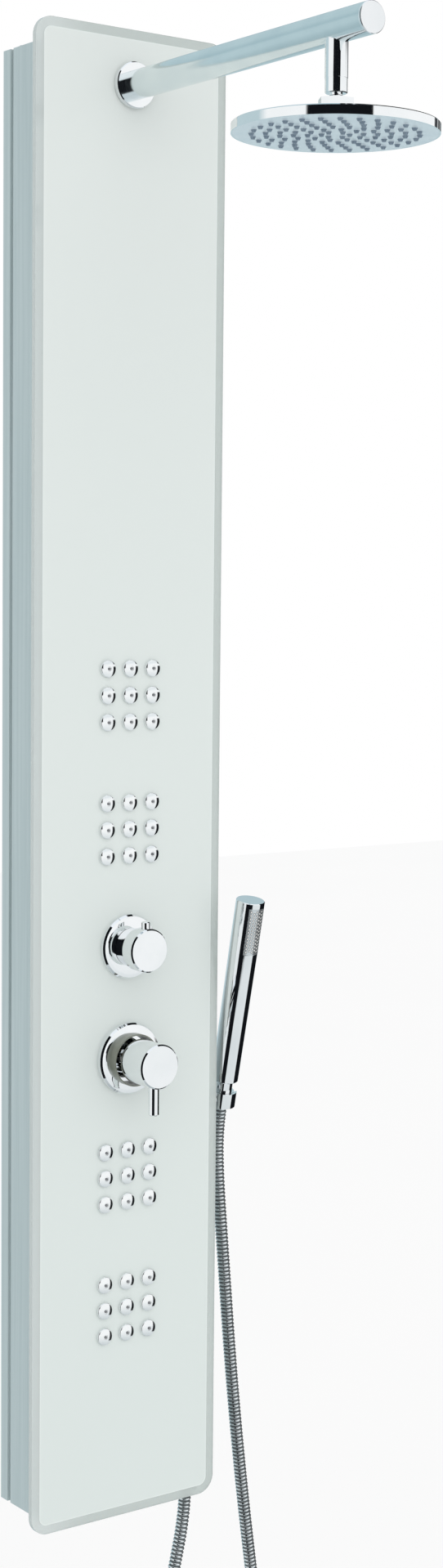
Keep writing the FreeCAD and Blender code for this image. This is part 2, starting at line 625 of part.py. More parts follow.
def jet_manifold(number, row):
    """The plastic box behind one group of jets."""
    box = body("manifold_box_%d" % number, out="manifold_out - manifold_depth", up=row, turn=FACING)
    half = "manifold_width / 2"
    short = "(%s - manifold_corner)" % half
    outline = [(half, "-" + short), (half, short), (short, half), ("-" + short, half),
               ("-" + half, short), ("-" + half, "-" + short), ("-" + short, "-" + half), (short, "-" + half)]
    pad(box, sketch(box, loops=[outline]), "manifold_depth")
    inlet = sketch(box, circles=[("0", "feed_out - manifold_out + manifold_depth", "stub_radius - 1")],
                   plane="YZ_Plane", lift="-" + half)
    pocket(box, inlet, "manifold_width / 4", backwards=True, name="inlet")
    return box


# ---- The two valves, their rosettes, the knob and the lever handle ----

def rod(radius, length, x="0", y="0", z="0", turn=None):
    """A round bar in a group's own frame, tied to the sheet; it points up unless turned."""
    bar = doc.addObject("Part::Cylinder", "rod")
    bind(bar, Radius=radius, Height=length)
    if turn is not None:
        bar.Placement = Placement(Vector(), turn)
    bind(bar, Placement__Base__x=x, Placement__Base__y=y, Placement__Base__z=z)
    return bar


def joined(solids, label="joined"):
    """One solid from several."""
    if len(solids) == 1:
        return solids[0]
    whole = doc.addObject("Part::MultiFuse", label)
    whole.Shapes = solids
    return whole


def bored(label, solids, holes, **where):
    """Solids joined into one, with holes cut through them, placed as a whole."""
    result = doc.addObject("Part::Cut", label)
    result.Label = label
    result.Base = joined(solids)
    result.Tool = joined(holes)
    if where:
        place(result, **where)
    doc.recompute()
    return result


def grouped(label, pieces):
    """Like pieces under one label, as separate solids."""
    group = doc.addObject("Part::Compound", label)
    group.Label = label
    group.Links = pieces
    return group


def rosette(label, height, radius, thickness):
    """A round cover on the glass, bevelled at its front edge."""
    turned(label, [
        ("rosette_hole", "0"), (radius, "0"), (radius, "%s - rosette_bevel" % thickness),
        ("%s - 0.6 * rosette_bevel" % radius, "%s - 0.3 * rosette_bevel" % thickness),
        ("%s - 2 * rosette_bevel" % radius, thickness), ("rosette_hole", thickness)],
        out="glass_out", up=height, turn=FACING)


def cartridge(label, height):
    """The valve's cartridge with its nose, bored for the stem."""
    turned(label, [
        ("0", "0"), ("cartridge_radius", "0"), ("cartridge_radius", "cartridge_length"),
        ("nose_radius", "cartridge_length"), ("nose_radius", "cartridge_length + nose_length"),
        ("spindle_radius + running_gap", "cartridge_length + nose_length"),
        ("spindle_radius + running_gap", "cartridge_length - stem_depth - 2"),
        ("0", "cartridge_length - stem_depth - 2")],
        out="glass_out - cartridge_length", up=height, turn=FACING)


def cavity():
    """The room for a cartridge in the front of a valve body."""
    return rod("cartridge_radius + 0.1", "cartridge_length + 1", y="cartridge_length", turn=FACING)


def barrel():
    """The round main part of a valve body, its front level with the glass."""
    return rod("valve_radius", "valve_depth", y="valve_depth", turn=FACING)


def upright_arms(radius, length):
    """The valve's ports that point up and down, as one bar through its middle."""
    return rod(radius, "2 * (%s)" % length, y="glass_out - port_out", z="-(%s)" % length)


def diverter_body():
    """Water in from below; out to the arm above, the jets on the left and the handset on the right."""
    solids = [barrel(), upright_arms("valve_arm_radius", "valve_arm_length")]
    holes = [cavity(), upright_arms("valve_arm_bore", "valve_arm_length + 1")]
    for bars, radius, extra in ((solids, "valve_arm_radius", "0"), (holes, "valve_arm_bore", "1")):
        bars.append(rod(radius, "2 * (valve_arm_length + %s)" % extra, x="-(valve_arm_length + %s)" % extra,
                        y="glass_out - feed_out", turn=SIDEWAYS))
    bored("diverter_body", solids, holes, out="glass_out", up="diverter_height")


def mixer_body():
    """Hot and cold in from both sides through long arms; mixed water out at the top."""
    back = "glass_out - port_out"
    half = "inlet_spacing / 2"
    solids = [barrel(), rod("valve_arm_radius", "valve_arm_length", y=back),
              rod("valve_arm_radius", "inlet_spacing", x="-" + half, y=back, turn=SIDEWAYS)]
    holes = [cavity(), rod("valve_arm_bore", "valve_arm_length + 1", y=back),
             rod("valve_arm_bore - 0.5", "inlet_spacing + 4", x="-%s - 2" % half, y=back, turn=SIDEWAYS)]
    for side in ("-", ""):
        solids.append(rod("valve_arm_radius + 1", "supply_boss + valve_arm_radius + 1", x=side + half, y=back,
                          z="-supply_boss"))
        holes.append(rod("valve_arm_bore", "supply_boss + valve_arm_bore + 1", x=side + half, y=back,
                         z="-supply_boss - 1"))
    bored("mixer_body", solids, holes, out="glass_out", up="mixer_height")


def diverter_knob():
    """A hollow turned knob: a broad front rim, a slimmer skirt, and a boss inside for the stem."""
    skirt = "knob_out - glass_out - diverter_rosette_thickness - skirt_gap"
    knob = turned("diverter_knob", [
        ("0", "0"), ("knob_radius - edge_round", "0"), ("knob_radius", "-edge_round"),
        ("knob_radius", "-knob_length"), ("hub_skirt_radius", "-knob_length - 1"),
        ("hub_skirt_radius", "-(%s)" % skirt), ("hub_skirt_radius - knob_wall", "-(%s)" % skirt),
        ("hub_skirt_radius - knob_wall", "-knob_wall"), ("knob_boss_radius", "-knob_wall"),
        ("knob_boss_radius", "-knob_boss_length"), ("spindle_radius", "-knob_boss_length"),
        ("spindle_radius", "-knob_boss_length / 2"), ("0", "-knob_boss_length / 2")],
        out="knob_out", up="diverter_height", turn=FACING)
    turned("diverter_marker", [
        ("0", "0"), ("marker_radius", "0"), ("marker_radius", "marker_length - 0.8"),
        ("marker_radius - 0.8", "marker_length"), ("0", "marker_length")],
        out="knob_out - marker_set_back", up="diverter_height + knob_radius - 0.9")
    seat = sketch(knob, circles=[("0", "-marker_set_back", "marker_radius")], plane="XZ_Plane",
                  lift="-knob_radius + 0.9")
    pocket(knob, seat, "0.9 + 0.5", backwards=False, name="marker_seat")
    shaft = body("diverter_stem", out="knob_out - knob_boss_length / 2 - knob_stem_length",
                 up="diverter_height", turn=FACING)
    pad(shaft, sketch(shaft, circles=[("0", "0", "spindle_radius")]), "knob_stem_length")


def mixer_trim():
    """The sleeve on the rosette, the spindle with its pivot, the handle cup and the lever."""
    tube("mixer_sleeve", "sleeve_radius", "sleeve_radius - sleeve_wall", "sleeve_length",
         out="glass_out + mixer_rosette_thickness", up="mixer_height", turn=FACING)
    bottom = "pivot_out - glass_out + stem_depth"
    bored("mixer_spindle",
          [rod("spindle_radius", bottom, y=bottom, turn=FACING),
           rod("pivot_block_radius", "pivot_block_width", x="-pivot_block_width / 2", turn=SIDEWAYS)],
          [rod("pivot_radius + running_gap", "pivot_block_width + 2", x="-pivot_block_width / 2 - 1",
               turn=SIDEWAYS)], out="pivot_out", up="mixer_height")
    reach = "(pivot_block_width / 2 + 0.4 + lug_width)"
    pin = body("handle_pin", x="-" + reach, out="pivot_out", up="mixer_height", turn=SIDEWAYS)
    pad(pin, sketch(pin, circles=[("0", "0", "pivot_radius")]), "2 * " + reach)
    cup = turned("handle_cup", [
        ("0", "0"), ("handle_radius - edge_round", "0"), ("handle_radius", "-edge_round"),
        ("handle_radius", "-handle_length"), ("handle_radius - knob_wall", "-handle_length"),
        ("handle_radius - knob_wall", "-2 * knob_wall"), ("0", "-2 * knob_wall")], up="hang_height", turn=FACING)
    lugs = []
    depth = "(handle_out - pivot_out)"
    for side in ("-%s" % reach, "pivot_block_width / 2 + 0.4"):
        lugs.append(rod("pivot_block_radius", "lug_width", x=side, y=depth, turn=SIDEWAYS))
        web = doc.addObject("Part::Box", "web")
        bind(web, Length="lug_width", Width="%s - knob_wall" % depth, Height="2 * pivot_block_radius")
        bind(web, Placement__Base__x=side, Placement__Base__y="knob_wall")
        bind(web, Placement__Base__z="-pivot_block_radius")
        lugs.append(web)
    holes = [rod("pivot_radius", "2 * %s + 2" % reach, x="-%s - 1" % reach, y=depth, turn=SIDEWAYS),
             rod("lever_radius", "handle_radius", y="lever_set_back", z="-2 * handle_radius + 1")]
    bored("mixer_handle", [cup] + lugs, holes, out="handle_out", up="mixer_height")
    lever_top = "handle_radius - 1"
    turned("mixer_lever", [
        ("0", "0"), ("lever_radius", "0"), ("lever_radius", "lever_length - 1"),
        ("lever_radius - 1", "lever_length"), ("0", "lever_length")],
        out="handle_out - lever_set_back", up="mixer_height - (%s)" % lever_top,
        turn=Rotation(Vector(1, 0, 0), 180))


# ---- The pipes behind the glass ----

def pipe(label, x, out, low, high):
    """A straight upright pipe between two heights."""
    return tube(label, "pipe_radius", "pipe_radius - pipe_wall", "(%s) - (%s)" % (high, low), x=x, out=out, up=low)


def feed_pipe(label, side, low, high, branches, ends):
    """An upright pipe beside the valves, with short branches towards the middle."""
    solids = [rod("pipe_radius", "(%s) - (%s)" % (high, low))]
    holes = [rod("pipe_radius - pipe_wall", "(%s) - (%s) - 2" % (high, low), z="1" if side == "-" else "-1")]
    for height, end in zip(branches, ends):
        level = "(%s) - (%s)" % (height, low)
        solids.append(branch("stub_radius", "feed_x - %s" % end, side, level))
        holes.append(branch("stub_radius - 1", "feed_x - %s + 1" % end, side, level))
    bored(label, solids, holes, x=side + "feed_x", out="feed_out", up=low)


def branch(radius, length, side, level):
    """A short bar from a side pipe's middle towards the panel's middle."""
    start = "0" if side == "-" else "-(%s)" % length
    return rod(radius, length, x=start, z=level, turn=SIDEWAYS)


def supply(name, side):
    """The inlet with its nipple, the check valve above it and the pipe up to the mixer."""
    x = side + "inlet_spacing / 2"
    half = "inlet_block_half"
    collar = "port_out - nipple_back - nipple_length"
    block = [rod("inlet_block_radius", "2 * " + half, z="-" + half),
             rod("nipple_radius", "port_out - nipple_back", y="port_out - nipple_back", turn=FACING),
             rod(half + " - 0.3", "%s - 2" % collar, y=collar, turn=FACING)]
    ways = [rod("valve_arm_bore", "%s + 1" % half),
            rod("nipple_bore", "port_out - nipple_back + 1", y="port_out - nipple_back + 1", turn=FACING)]
    bored(name + "_inlet", block, ways, x=x, out="port_out", up="inlet_height")
    low = "inlet_height + " + half
    valve = tube(name + "_check_valve", "check_valve_radius", "valve_arm_bore - 2", "check_valve_length",
                 x=x, out="port_out", up=low)
    riser = pipe(name + "_supply_pipe", x, "port_out", low + " + check_valve_length",
                 "mixer_height - supply_boss")
    return valve, riser


def arm_elbow():
    """Turns the riser's water towards the room."""
    depth = "(port_out - 9)"
    bored("arm_elbow",
          [rod("elbow_radius", "%s - %s" % (TAIL_BACK, depth), y="port_out - %s" % depth, turn=FACING),
           rod("valve_arm_radius", "elbow_boss", z="-elbow_boss")],
          [rod("tail_bore", "%s - port_out + 8" % TAIL_BACK, y="6", turn=FACING),
           rod("valve_arm_bore", "elbow_boss + 1", z="-elbow_boss - 1")],
          out="port_out", up="arm_height")


TAIL_BACK = "(glass_out - glass_thickness - tape_thickness - casing_wall - backnut_thickness - 8)"


def outlet_elbow():
    """Carries the handset's water from its pipe to the outlet under the casing."""
    run = "outlet_x - feed_x"
    stem = "outlet_elbow_height - casing_rise + 10"
    bored("outlet_elbow",
          [rod("valve_arm_radius", "valve_arm_radius + 4", x="-(%s)" % run),
           rod("valve_arm_radius - 0.5", "%s + 12" % run, x="-(%s) - 6" % run, turn=SIDEWAYS),
           rod("outlet_stem_radius", stem, z="-(%s)" % stem)],
          [rod("valve_arm_bore", "valve_arm_radius + 5", x="-(%s)" % run),
           rod("valve_arm_bore", run, x="-(%s)" % run, turn=SIDEWAYS),
           rod("valve_arm_bore", "%s + 1" % stem, z="-(%s) - 1" % stem)],
          x="outlet_x", out="feed_out", up="outlet_elbow_height")
    floor = "hose_nut_length - hose_nut_floor"
    turned("hose_lower_nut", [
        ("hose_bore", "0"), ("hose_nut_radius - 0.8", "0"), ("hose_nut_radius", "0.8"),
        ("hose_nut_radius", "hose_nut_length - 0.8"), ("hose_nut_radius - 0.8", "hose_nut_length"),
        ("outlet_stem_radius", "hose_nut_length"), ("outlet_stem_radius", "hose_nut_length - (%s)" % floor),
        ("hose_bore", "hose_nut_length - (%s)" % floor)],
        x="outlet_x", out="feed_out", up=OUTLET_UP + " - hose_nut_length")


OUTLET_UP = "casing_rise - 0.5"


# ---- The holder and the stick handset ----

LEAN = Rotation(Vector(1, 0, 0), value("handset_lean"))
RING_MIDDLE = "(spigot_length + holder_drop + holder_length / 2)"
HOLDER_OUT = "foot_out - %s * sin(handset_lean * 1 deg)" % RING_MIDDLE
HOLDER_UP = "foot_height - %s * cos(handset_lean * 1 deg)" % RING_MIDDLE


def handset_holder():
    """A slotted ring on a short arm, leaning like the handset, with a base on the casing's side."""
    gap = "holder_x - casing_width / 2"
    ring = rod("holder_radius", "holder_length", z="-holder_length / 2")
    arm = rod("holder_arm_radius", "%s - 12" % gap, x="-(%s)" % gap, turn=SIDEWAYS)
    base = rod("holder_base_radius", "holder_base_thickness", x="-(%s)" % gap, turn=SIDEWAYS)
    bore = doc.addObject("Part::Cone", "bore")
    slope = "(cone_top_radius - cone_bottom_radius) / cone_length"
    bind(bore, Height="holder_length + 2")
    top_level = "(1 - holder_drop)"
    bind(bore, Radius2="cone_top_radius + holder_play + %s * %s" % (top_level, slope))
    bind(bore, Radius1="cone_top_radius + holder_play - (holder_length + holder_drop + 1) * " + slope)
    bind(bore, Placement__Base__z="-holder_length / 2 - 1")
    slot = doc.addObject("Part::Box", "slot")
    bind(slot, Length="holder_radius + 2", Width="holder_slot", Height="holder_length + 4")
    bind(slot, Placement__Base__y="-holder_slot / 2", Placement__Base__z="-holder_length / 2 - 2")
    leaning = bored("leaning_ring", [ring], [bore, slot])
    leaning.Placement = Placement(Vector(), LEAN)
    clear = rod("holder_radius - 1.5", "3 * holder_length", y="1.5 * holder_length * sin(handset_lean * 1 deg)",
                z="-1.5 * holder_length * cos(handset_lean * 1 deg)", turn=LEAN)
    trimmed = doc.addObject("Part::Cut", "trimmed_arm")
    trimmed.Base = joined([arm, base])
    trimmed.Tool = clear
    bored("handset_holder", [leaning, trimmed],
          [rod("holder_screw_radius", "12", x="-(%s) - 1" % gap, turn=SIDEWAYS)],
          x="holder_x", out=HOLDER_OUT, up=HOLDER_UP)
    screw = [rod("holder_screw_radius", "casing_wall + 10", turn=SIDEWAYS),
             rod("2 * holder_screw_radius", "2.5", x="-2.5", turn=SIDEWAYS)]
    bolt = joined(screw, "holder_screw")
    bolt.Label = "holder_screw"
    place(bolt, x="casing_width / 2 - casing_wall", out=HOLDER_OUT, up=HOLDER_UP)


def handset():
    """The stick: a slightly tapered tube with a spray window, its cap, its spigot and the cone nut below."""
    foot = {"x": "holder_x", "out": "foot_out", "up": "foot_height", "turn": LEAN}
    top = "handset_length - handset_cap_thickness"
    low = "handset_length - spray_from_top - spray_length"
    stick = turned("handset_body", [
        ("handset_bore", "0"), ("handset_foot_radius - 0.8", "0"), ("handset_foot_radius", "0.8"),
        ("handset_radius", low), ("handset_radius", top), ("handset_radius - handset_wall", top),
        ("handset_radius - handset_wall", low),
        ("handset_foot_radius - handset_wall", "handset_floor"), ("handset_bore", "handset_floor")], **foot)
    turned("handset_end_cap", [
        ("0", "-handset_cap_spigot"), ("handset_radius - handset_wall", "-handset_cap_spigot"),
        ("handset_radius - handset_wall", "0"),
        ("handset_radius", "0"), ("handset_radius", "handset_cap_thickness - 0.8"),
        ("handset_radius - 0.8", "handset_cap_thickness"), ("0", "handset_cap_thickness")],
        x="holder_x", out="foot_out + (%s) * sin(handset_lean * 1 deg)" % top,
        up="foot_height + (%s) * cos(handset_lean * 1 deg)" % top, turn=LEAN)
    window = stick.newObject("PartDesign::SubtractiveCylinder", "window")
    turn_to_front = Rotation(Vector(0, 0, 1), -90 - value("spray_angle") / 2)
    window.AttachmentSupport = [(origin_plane(stick, "XY_Plane"), "")]
    window.MapMode = "FlatFace"
    window.AttachmentOffset = Placement(Vector(), turn_to_front)
    bind(window, Radius="handset_radius + 1", Height="spray_length", Angle="spray_angle * 1 deg")
    bind(window, AttachmentOffset__Base__z=low)
    doc.recompute()
    spray_face(low, turn_to_front, foot)
    turned("handset_spigot", [
        ("handset_bore", "0"), ("spigot_radius", "0"), ("spigot_radius", "-spigot_length"),
        ("spigot_thread_radius", "-spigot_length"),
        ("spigot_thread_radius", "-spigot_length - spigot_thread_length"),
        ("handset_bore", "-spigot_length - spigot_thread_length")], **foot)
    low_end = "-spigot_length - cone_length"
    turned("hose_cone_nut", [
        ("spigot_thread_radius", "-spigot_length"), ("cone_top_radius", "-spigot_length"),
        ("cone_bottom_radius", low_end), ("hose_bore", low_end), ("hose_bore", low_end + " + cone_floor"),
        ("spigot_thread_radius", low_end + " + cone_floor")], **foot)


def spray_face(low, turn_to_front, foot):
    """The curved plate with the spray holes, set a little below the handset's skin."""
    solids = []
    for radius, angle in (("handset_radius - spray_inset", "spray_angle"), ("handset_radius - handset_wall", "360")):
        piece = rod(radius, "spray_length")
        bind(piece, Angle=angle)
        solids.append(piece)
    solids[0].Placement = Placement(Vector(), turn_to_front)
    for piece in solids:
        bind(piece, Placement__Base__z=low)
    bored("handset_spray_face", [solids[0]], [solids[1]], **foot)


def origin_plane(owner, role):
    """One of a body's own origin planes."""
    return [f for f in owner.Origin.OriginFeatures if f.Role == role][0]


# ---- The ribbed hose ----

# Its route hangs from the cone nut, round the bottom of the loop and up to the outlet: x, y, height.
HOSE_LOOP = 1250  # length between the two nuts
LOOP_RIGHT, LOOP_LEFT = 206, 40
RIGHT_STRAND = [(142, -54.25, 406.5), (143.6, -54, 352), (150.5, -56, 262), (163, -58, 112),
                (181, -59, -38), (199, -60, -160)]
LEFT_STRAND = [(43, -60, -240), (64, -60, -162), (83, -60, -92), (97, -60, -26)]


def hose_corners(bottom):
    """The route's corners for a loop whose lowest run is at the given height."""
    side = (LOOP_RIGHT - LOOP_LEFT) / (1 + math.sqrt(2))
    step = side / math.sqrt(2)
    drop = value("spigot_length + cone_length + hose_play")
    lean = math.radians(value("handset_lean"))
    start = (value("holder_x"), -value("foot_out") + drop * math.sin(lean),
             value("foot_height") - drop * math.cos(lean))
    loop = [(LOOP_RIGHT, -60, bottom + step), (LOOP_RIGHT - step, -60, bottom),
            (LOOP_LEFT + step, -60, bottom), (LOOP_LEFT, -60, bottom + step)]
    end = (value("outlet_x"), -value("feed_out"), value(OUTLET_UP + " - hose_nut_length"))
    corners = [start] + RIGHT_STRAND + loop + LEFT_STRAND + [end]
    return [Vector(x, y, z - value("hang_height")) for x, y, z in corners]


def rounded_route(corners):
    """Straight runs joined by tangent arcs, as edges, with the arcs' radii."""
    edges, radii = [], []
    at = corners[0]
    for before, corner, after in zip(corners, corners[1:], corners[2:]):
        into = (corner - before).normalize()
        away = (after - corner).normalize()
        half = math.acos(max(-1.0, min(1.0, into.dot(away)))) / 2
        setback = 0.45 * min((corner - before).Length, (after - corner).Length)
        radius = setback / math.tan(half)
        first = corner - into * setback
        last = corner + away * setback
        inward = (away - into).normalize()
        middle = corner + inward * (radius / math.cos(half) - radius)
        edges.append(Part.LineSegment(at, first).toShape())
        edges.append(Part.Arc(first, middle, last).toShape())
        radii.append(radius)
        at = last
    edges.append(Part.LineSegment(at, corners[-1]).toShape())
    return edges, radii


def settled_route():
    """The route whose length is the hose's, found by moving the bottom of the loop."""
    low, high = -600.0, -250.0
    for step in range(40):
        bottom = (low + high) / 2
        edges, radii = rounded_route(hose_corners(bottom))
        if sum(edge.Length for edge in edges) > HOSE_LOOP:
            low = bottom
        else:
            high = bottom
    return bottom, edges, radii


def along(edges, distance):
    """The point and the direction at a distance along the route."""
    for edge in edges:
        if distance <= edge.Length + 1e-9 or edge is edges[-1]:
            parameter = edge.getParameterByLength(min(distance, edge.Length))
            return edge.valueAt(parameter), edge.tangentAt(parameter)
        distance -= edge.Length


HOSE_SIDES = 10
RIB_SHAPE = [(0.0, 0), (0.25, 1), (0.6, 1), (0.85, 0)]  # along the pitch, and how much of the rib's height


def ring_at(point, direction, radius):
    """The corners of a ring across the route, its x axis held steady against world y."""
    z_axis = direction.normalize()
    x_axis = z_axis.cross(Vector(0, 1, 0)).normalize()
    turn = Placement(point, Rotation(x_axis, Vector(), z_axis, "ZXY"))
    return [turn.multVec(corner) for corner in polygon(radius, 0, HOSE_SIDES)]


def wire_of(ring):
    """A closed wire through a ring's corners."""
    return Part.makePolygon(ring + ring[:1])


def hose():
    """One ribbed tube with its bore, and its checks."""
    bottom, edges, radii = settled_route()
    length = sum(edge.Length for edge in edges)
    outer, inner, bore = value("hose_radius"), value("hose_radius - hose_rib"), value("hose_bore")
    ribs = int(value("hose_ribs"))
    pitch = length / ribs
    stations = [((rib + at) * pitch, inner + (outer - inner) * rise) for rib in range(ribs) for at, rise in RIB_SHAPE]
    stations.append((length, inner))
    skin = [wire_of(ring_at(*along(edges, distance), radius)) for distance, radius in stations]
    lining = [wire_of(ring_at(*along(edges, rib * pitch), bore)) for rib in range(ribs + 1)]
    tube_solid = Part.makeLoft(skin, True, True).cut(Part.makeLoft(lining, True, True)).Solids[0]
    share = HOSE_SIDES / 2 * math.sin(2 * math.pi / HOSE_SIDES)
    volume = -share * bore ** 2 * length
    for (low, first), (high, second) in zip(stations, stations[1:]):
        volume += share * (first ** 2 + first * second + second ** 2) / 3 * (high - low)
    points = [along(edges, length * i / 400)[0] for i in range(401)]
    apart = min((points[i] - points[j]).Length for i in range(401) for j in range(i + 40, 401))
    print("hose: length %.1f, lowest run at %.1f, rib pitch %.2f" % (length, bottom, pitch))
    print("hose: arc radii " + " ".join("%.0f" % radius for radius in radii))
    print("hose: volume %.0f against rings along the route %.0f" % (tube_solid.Volume, volume))
    print("hose: least gap to itself %.1f" % (apart - 2 * outer))
    new = doc.addObject("Part::Feature", "hose")
    new.Label = "hose"
    new.Shape = tube_solid


# ---- Everything in its place ----

glass_panel()
bonding_tape()
casing_profile()
cap("casing_top_cap", "casing_rise + casing_height - cap_thickness", [])
cap("casing_bottom_cap", "casing_rise", [("outlet_x", "-feed_out", "outlet_stem_radius + jet_play")])
cap_screws()
wall_bracket("upper_wall_bracket", "hang_height")
wall_bracket("lower_wall_bracket", "lower_bracket_height")
hanger_plate("upper_hanger_plate", "hang_height")
hanger_plate("lower_hanger_plate", "lower_bracket_height")
arm_parts()
arm_elbow()
ball_joint()
rain_head()
head_nozzles()
body_jets()
grouped("jet_manifolds", [jet_manifold(number, group) for number, group in enumerate(JET_ROWS, start=1)])
rosette("diverter_rosette", "diverter_height", "diverter_rosette_radius", "diverter_rosette_thickness")
rosette("mixer_rosette", "mixer_height", "mixer_rosette_radius", "mixer_rosette_thickness")
cartridge("diverter_cartridge", "diverter_height")
cartridge("mixer_cartridge", "mixer_height")
diverter_body()
mixer_body()
diverter_knob()
mixer_trim()
pipe("riser_pipe", "0", "port_out", "diverter_height + valve_arm_length", "arm_height - elbow_boss")
pipe("mixed_water_pipe", "0", "port_out", "mixer_height + valve_arm_length",
     "diverter_height - valve_arm_length")
feed_pipe("jet_feed_pipe", "-", "jet_row_4 - 12", "jet_row_1 + 12",
          JET_ROWS + ["diverter_height"], ["manifold_width / 2"] * 4 + ["valve_arm_length"])
feed_pipe("handset_feed_pipe", "", "outlet_elbow_height + valve_arm_radius + 4", "diverter_height + 12",
          ["diverter_height"], ["valve_arm_length"])
sides = [supply("hot", "-"), supply("cold", "")]
grouped("check_valves", [valve for valve, riser in sides])
grouped("supply_pipes", [riser for valve, riser in sides])
outlet_elbow()
handset_holder()
handset()
hose()
doc.recompute()

NODES = """
glass_panel bonding_tape casing_profile casing_top_cap casing_bottom_cap cap_screws
upper_wall_bracket lower_wall_bracket upper_hanger_plate lower_hanger_plate
arm_gasket arm_flange shower_arm arm_end_cap arm_tail arm_backnut arm_neck arm_elbow
ball_connector inner_ball_liner outer_ball_liner collar_nut head_shell nozzle_plate head_nozzles
body_jets jet_nozzles jet_manifolds
diverter_rosette diverter_cartridge diverter_body diverter_knob diverter_marker diverter_stem
mixer_rosette mixer_cartridge mixer_body mixer_sleeve mixer_spindle handle_pin mixer_handle mixer_lever
riser_pipe mixed_water_pipe jet_feed_pipe handset_feed_pipe outlet_elbow
hot_inlet cold_inlet check_valves supply_pipes
hose_lower_nut hose handset_holder holder_screw
handset_body handset_spray_face handset_end_cap handset_spigot hose_cone_nut
""".split()

for thing in doc.Objects:
    if "Invalid" in thing.State or "Error" in thing.State:
        raise RuntimeError("%s is in error: %s" % (thing.Name, thing.State))

os.makedirs("parts", exist_ok=True)
for label in NODES:
    found = [thing for thing in doc.Objects if thing.Label == label]
    if len(found) != 1:
        raise RuntimeError("%d objects are called %s" % (len(found), label))
    shape = found[0].Shape
    if shape.isNull() or not shape.isValid() or not shape.Solids:
        raise RuntimeError(label + " has no valid solid")
    shape.exportStep(os.path.join("parts", label + ".step"))
print("%d sub-parts" % len(NODES))
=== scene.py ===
import math

import bmesh
import bpy
from mathutils import Matrix, Vector


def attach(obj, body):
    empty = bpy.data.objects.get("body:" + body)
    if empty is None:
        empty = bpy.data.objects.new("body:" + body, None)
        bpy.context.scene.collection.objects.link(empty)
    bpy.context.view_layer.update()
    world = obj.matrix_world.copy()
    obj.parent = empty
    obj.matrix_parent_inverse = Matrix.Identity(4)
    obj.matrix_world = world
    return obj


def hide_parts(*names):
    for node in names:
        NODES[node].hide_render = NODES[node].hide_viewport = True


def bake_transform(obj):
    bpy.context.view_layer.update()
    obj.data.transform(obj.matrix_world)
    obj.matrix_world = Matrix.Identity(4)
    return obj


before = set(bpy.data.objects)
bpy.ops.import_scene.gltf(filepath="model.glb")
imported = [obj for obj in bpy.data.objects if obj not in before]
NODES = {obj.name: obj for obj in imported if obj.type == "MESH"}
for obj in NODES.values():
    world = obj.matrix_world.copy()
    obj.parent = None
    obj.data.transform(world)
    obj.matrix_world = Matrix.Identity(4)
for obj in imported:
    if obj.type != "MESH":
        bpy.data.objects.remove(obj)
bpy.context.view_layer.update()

MM = 0.001
GLASS_HEIGHT, GLASS_WIDTH = 1.600, 0.240
HANG = 1.420  # the row's origin above the lower edge of the glass
OUT, ACROSS = Vector((0, -1, 0)), Vector((1, 0, 0))


def row(x, out, up):
    """A place in metres, from millimetres across, out from the wall and up from the glass's lower edge."""
    return Vector((x * MM, -out * MM, up * MM - HANG))


# ---- Camera ----

CAMERA_PLACE = (-1.4350, -2.2121, -0.3979)
CAMERA_YAW, CAMERA_PITCH, CAMERA_ROLL = 36.186, 4.762, 0.544  # degrees
FOCAL_PIXELS, PHOTO_HEIGHT = 2931.1, 1918.0
SENSOR = 36.0


def make_camera():
    data = bpy.data.cameras.new("photo_camera")
    camera = bpy.data.objects.new("photo_camera", data)
    bpy.context.scene.collection.objects.link(camera)
    yaw, pitch, roll = (math.radians(angle) for angle in (CAMERA_YAW, CAMERA_PITCH, CAMERA_ROLL))
    ahead = Vector((math.sin(yaw) * math.cos(pitch), math.cos(yaw) * math.cos(pitch), -math.sin(pitch)))
    level = Vector((math.cos(yaw), -math.sin(yaw), 0))
    above = level.cross(ahead)
    right = level * math.cos(roll) + above * math.sin(roll)
    up = above * math.cos(roll) - level * math.sin(roll)
    turn = Matrix((right, up, -ahead)).transposed().to_4x4()
    camera.matrix_world = Matrix.Translation(CAMERA_PLACE) @ turn
    data.sensor_fit = "VERTICAL"
    data.sensor_height = SENSOR
    data.lens = FOCAL_PIXELS * SENSOR / PHOTO_HEIGHT
    data.clip_start, data.clip_end = 0.05, 60
    bpy.context.scene.camera = camera


make_camera()


# ---- Node helpers ----

def wire(tree, a, b):
    tree.links.new(a, b)


def node(tree, kind, **settings):
    new = tree.nodes.new(kind)
    for name, value in settings.items():
        setattr(new, name, value)
    return new


def sums(tree, operation, a, b=None, clamp=False):
    """One math node on sockets or numbers."""
    new = node(tree, "ShaderNodeMath", operation=operation, use_clamp=clamp)
    for socket, value in zip(new.inputs, (a, b)):
        if value is None:
            continue
        if isinstance(value, (int, float)):
            socket.default_value = value
        else:
            wire(tree, value, socket)
    return new.outputs[0]


def blank(name):
    """A material with its Principled shader, its tree and object coordinates."""
    material = bpy.data.materials.new(name)
    material.use_nodes = True
    tree = material.node_tree
    shader = tree.nodes["Principled BSDF"]
    place = node(tree, "ShaderNodeTexCoord").outputs["Object"]
    return material, tree, shader, place


def ramp(tree, factor, stops):
    """A colour ramp of (place, (r, g, b)) stops, in rising order."""
    new = node(tree, "ShaderNodeValToRGB")
    elements = new.color_ramp.elements
    elements[0].position, elements[-1].position = stops[0][0], stops[-1][0]
    for place, colour in stops[1:-1]:
        elements.new(place)
    for element, (place, colour) in zip(elements, stops):
        element.color = (*colour, 1)
    wire(tree, factor, new.inputs[0])
    return new.outputs[0]


def window(tree, factor, edges):
    """One between the middle two of four edges, nothing outside them, and a short slope at each side."""
    return ramp(tree, factor, [(edge, (tone,) * 3) for edge, tone in zip(edges, (0, 1, 1, 0))])


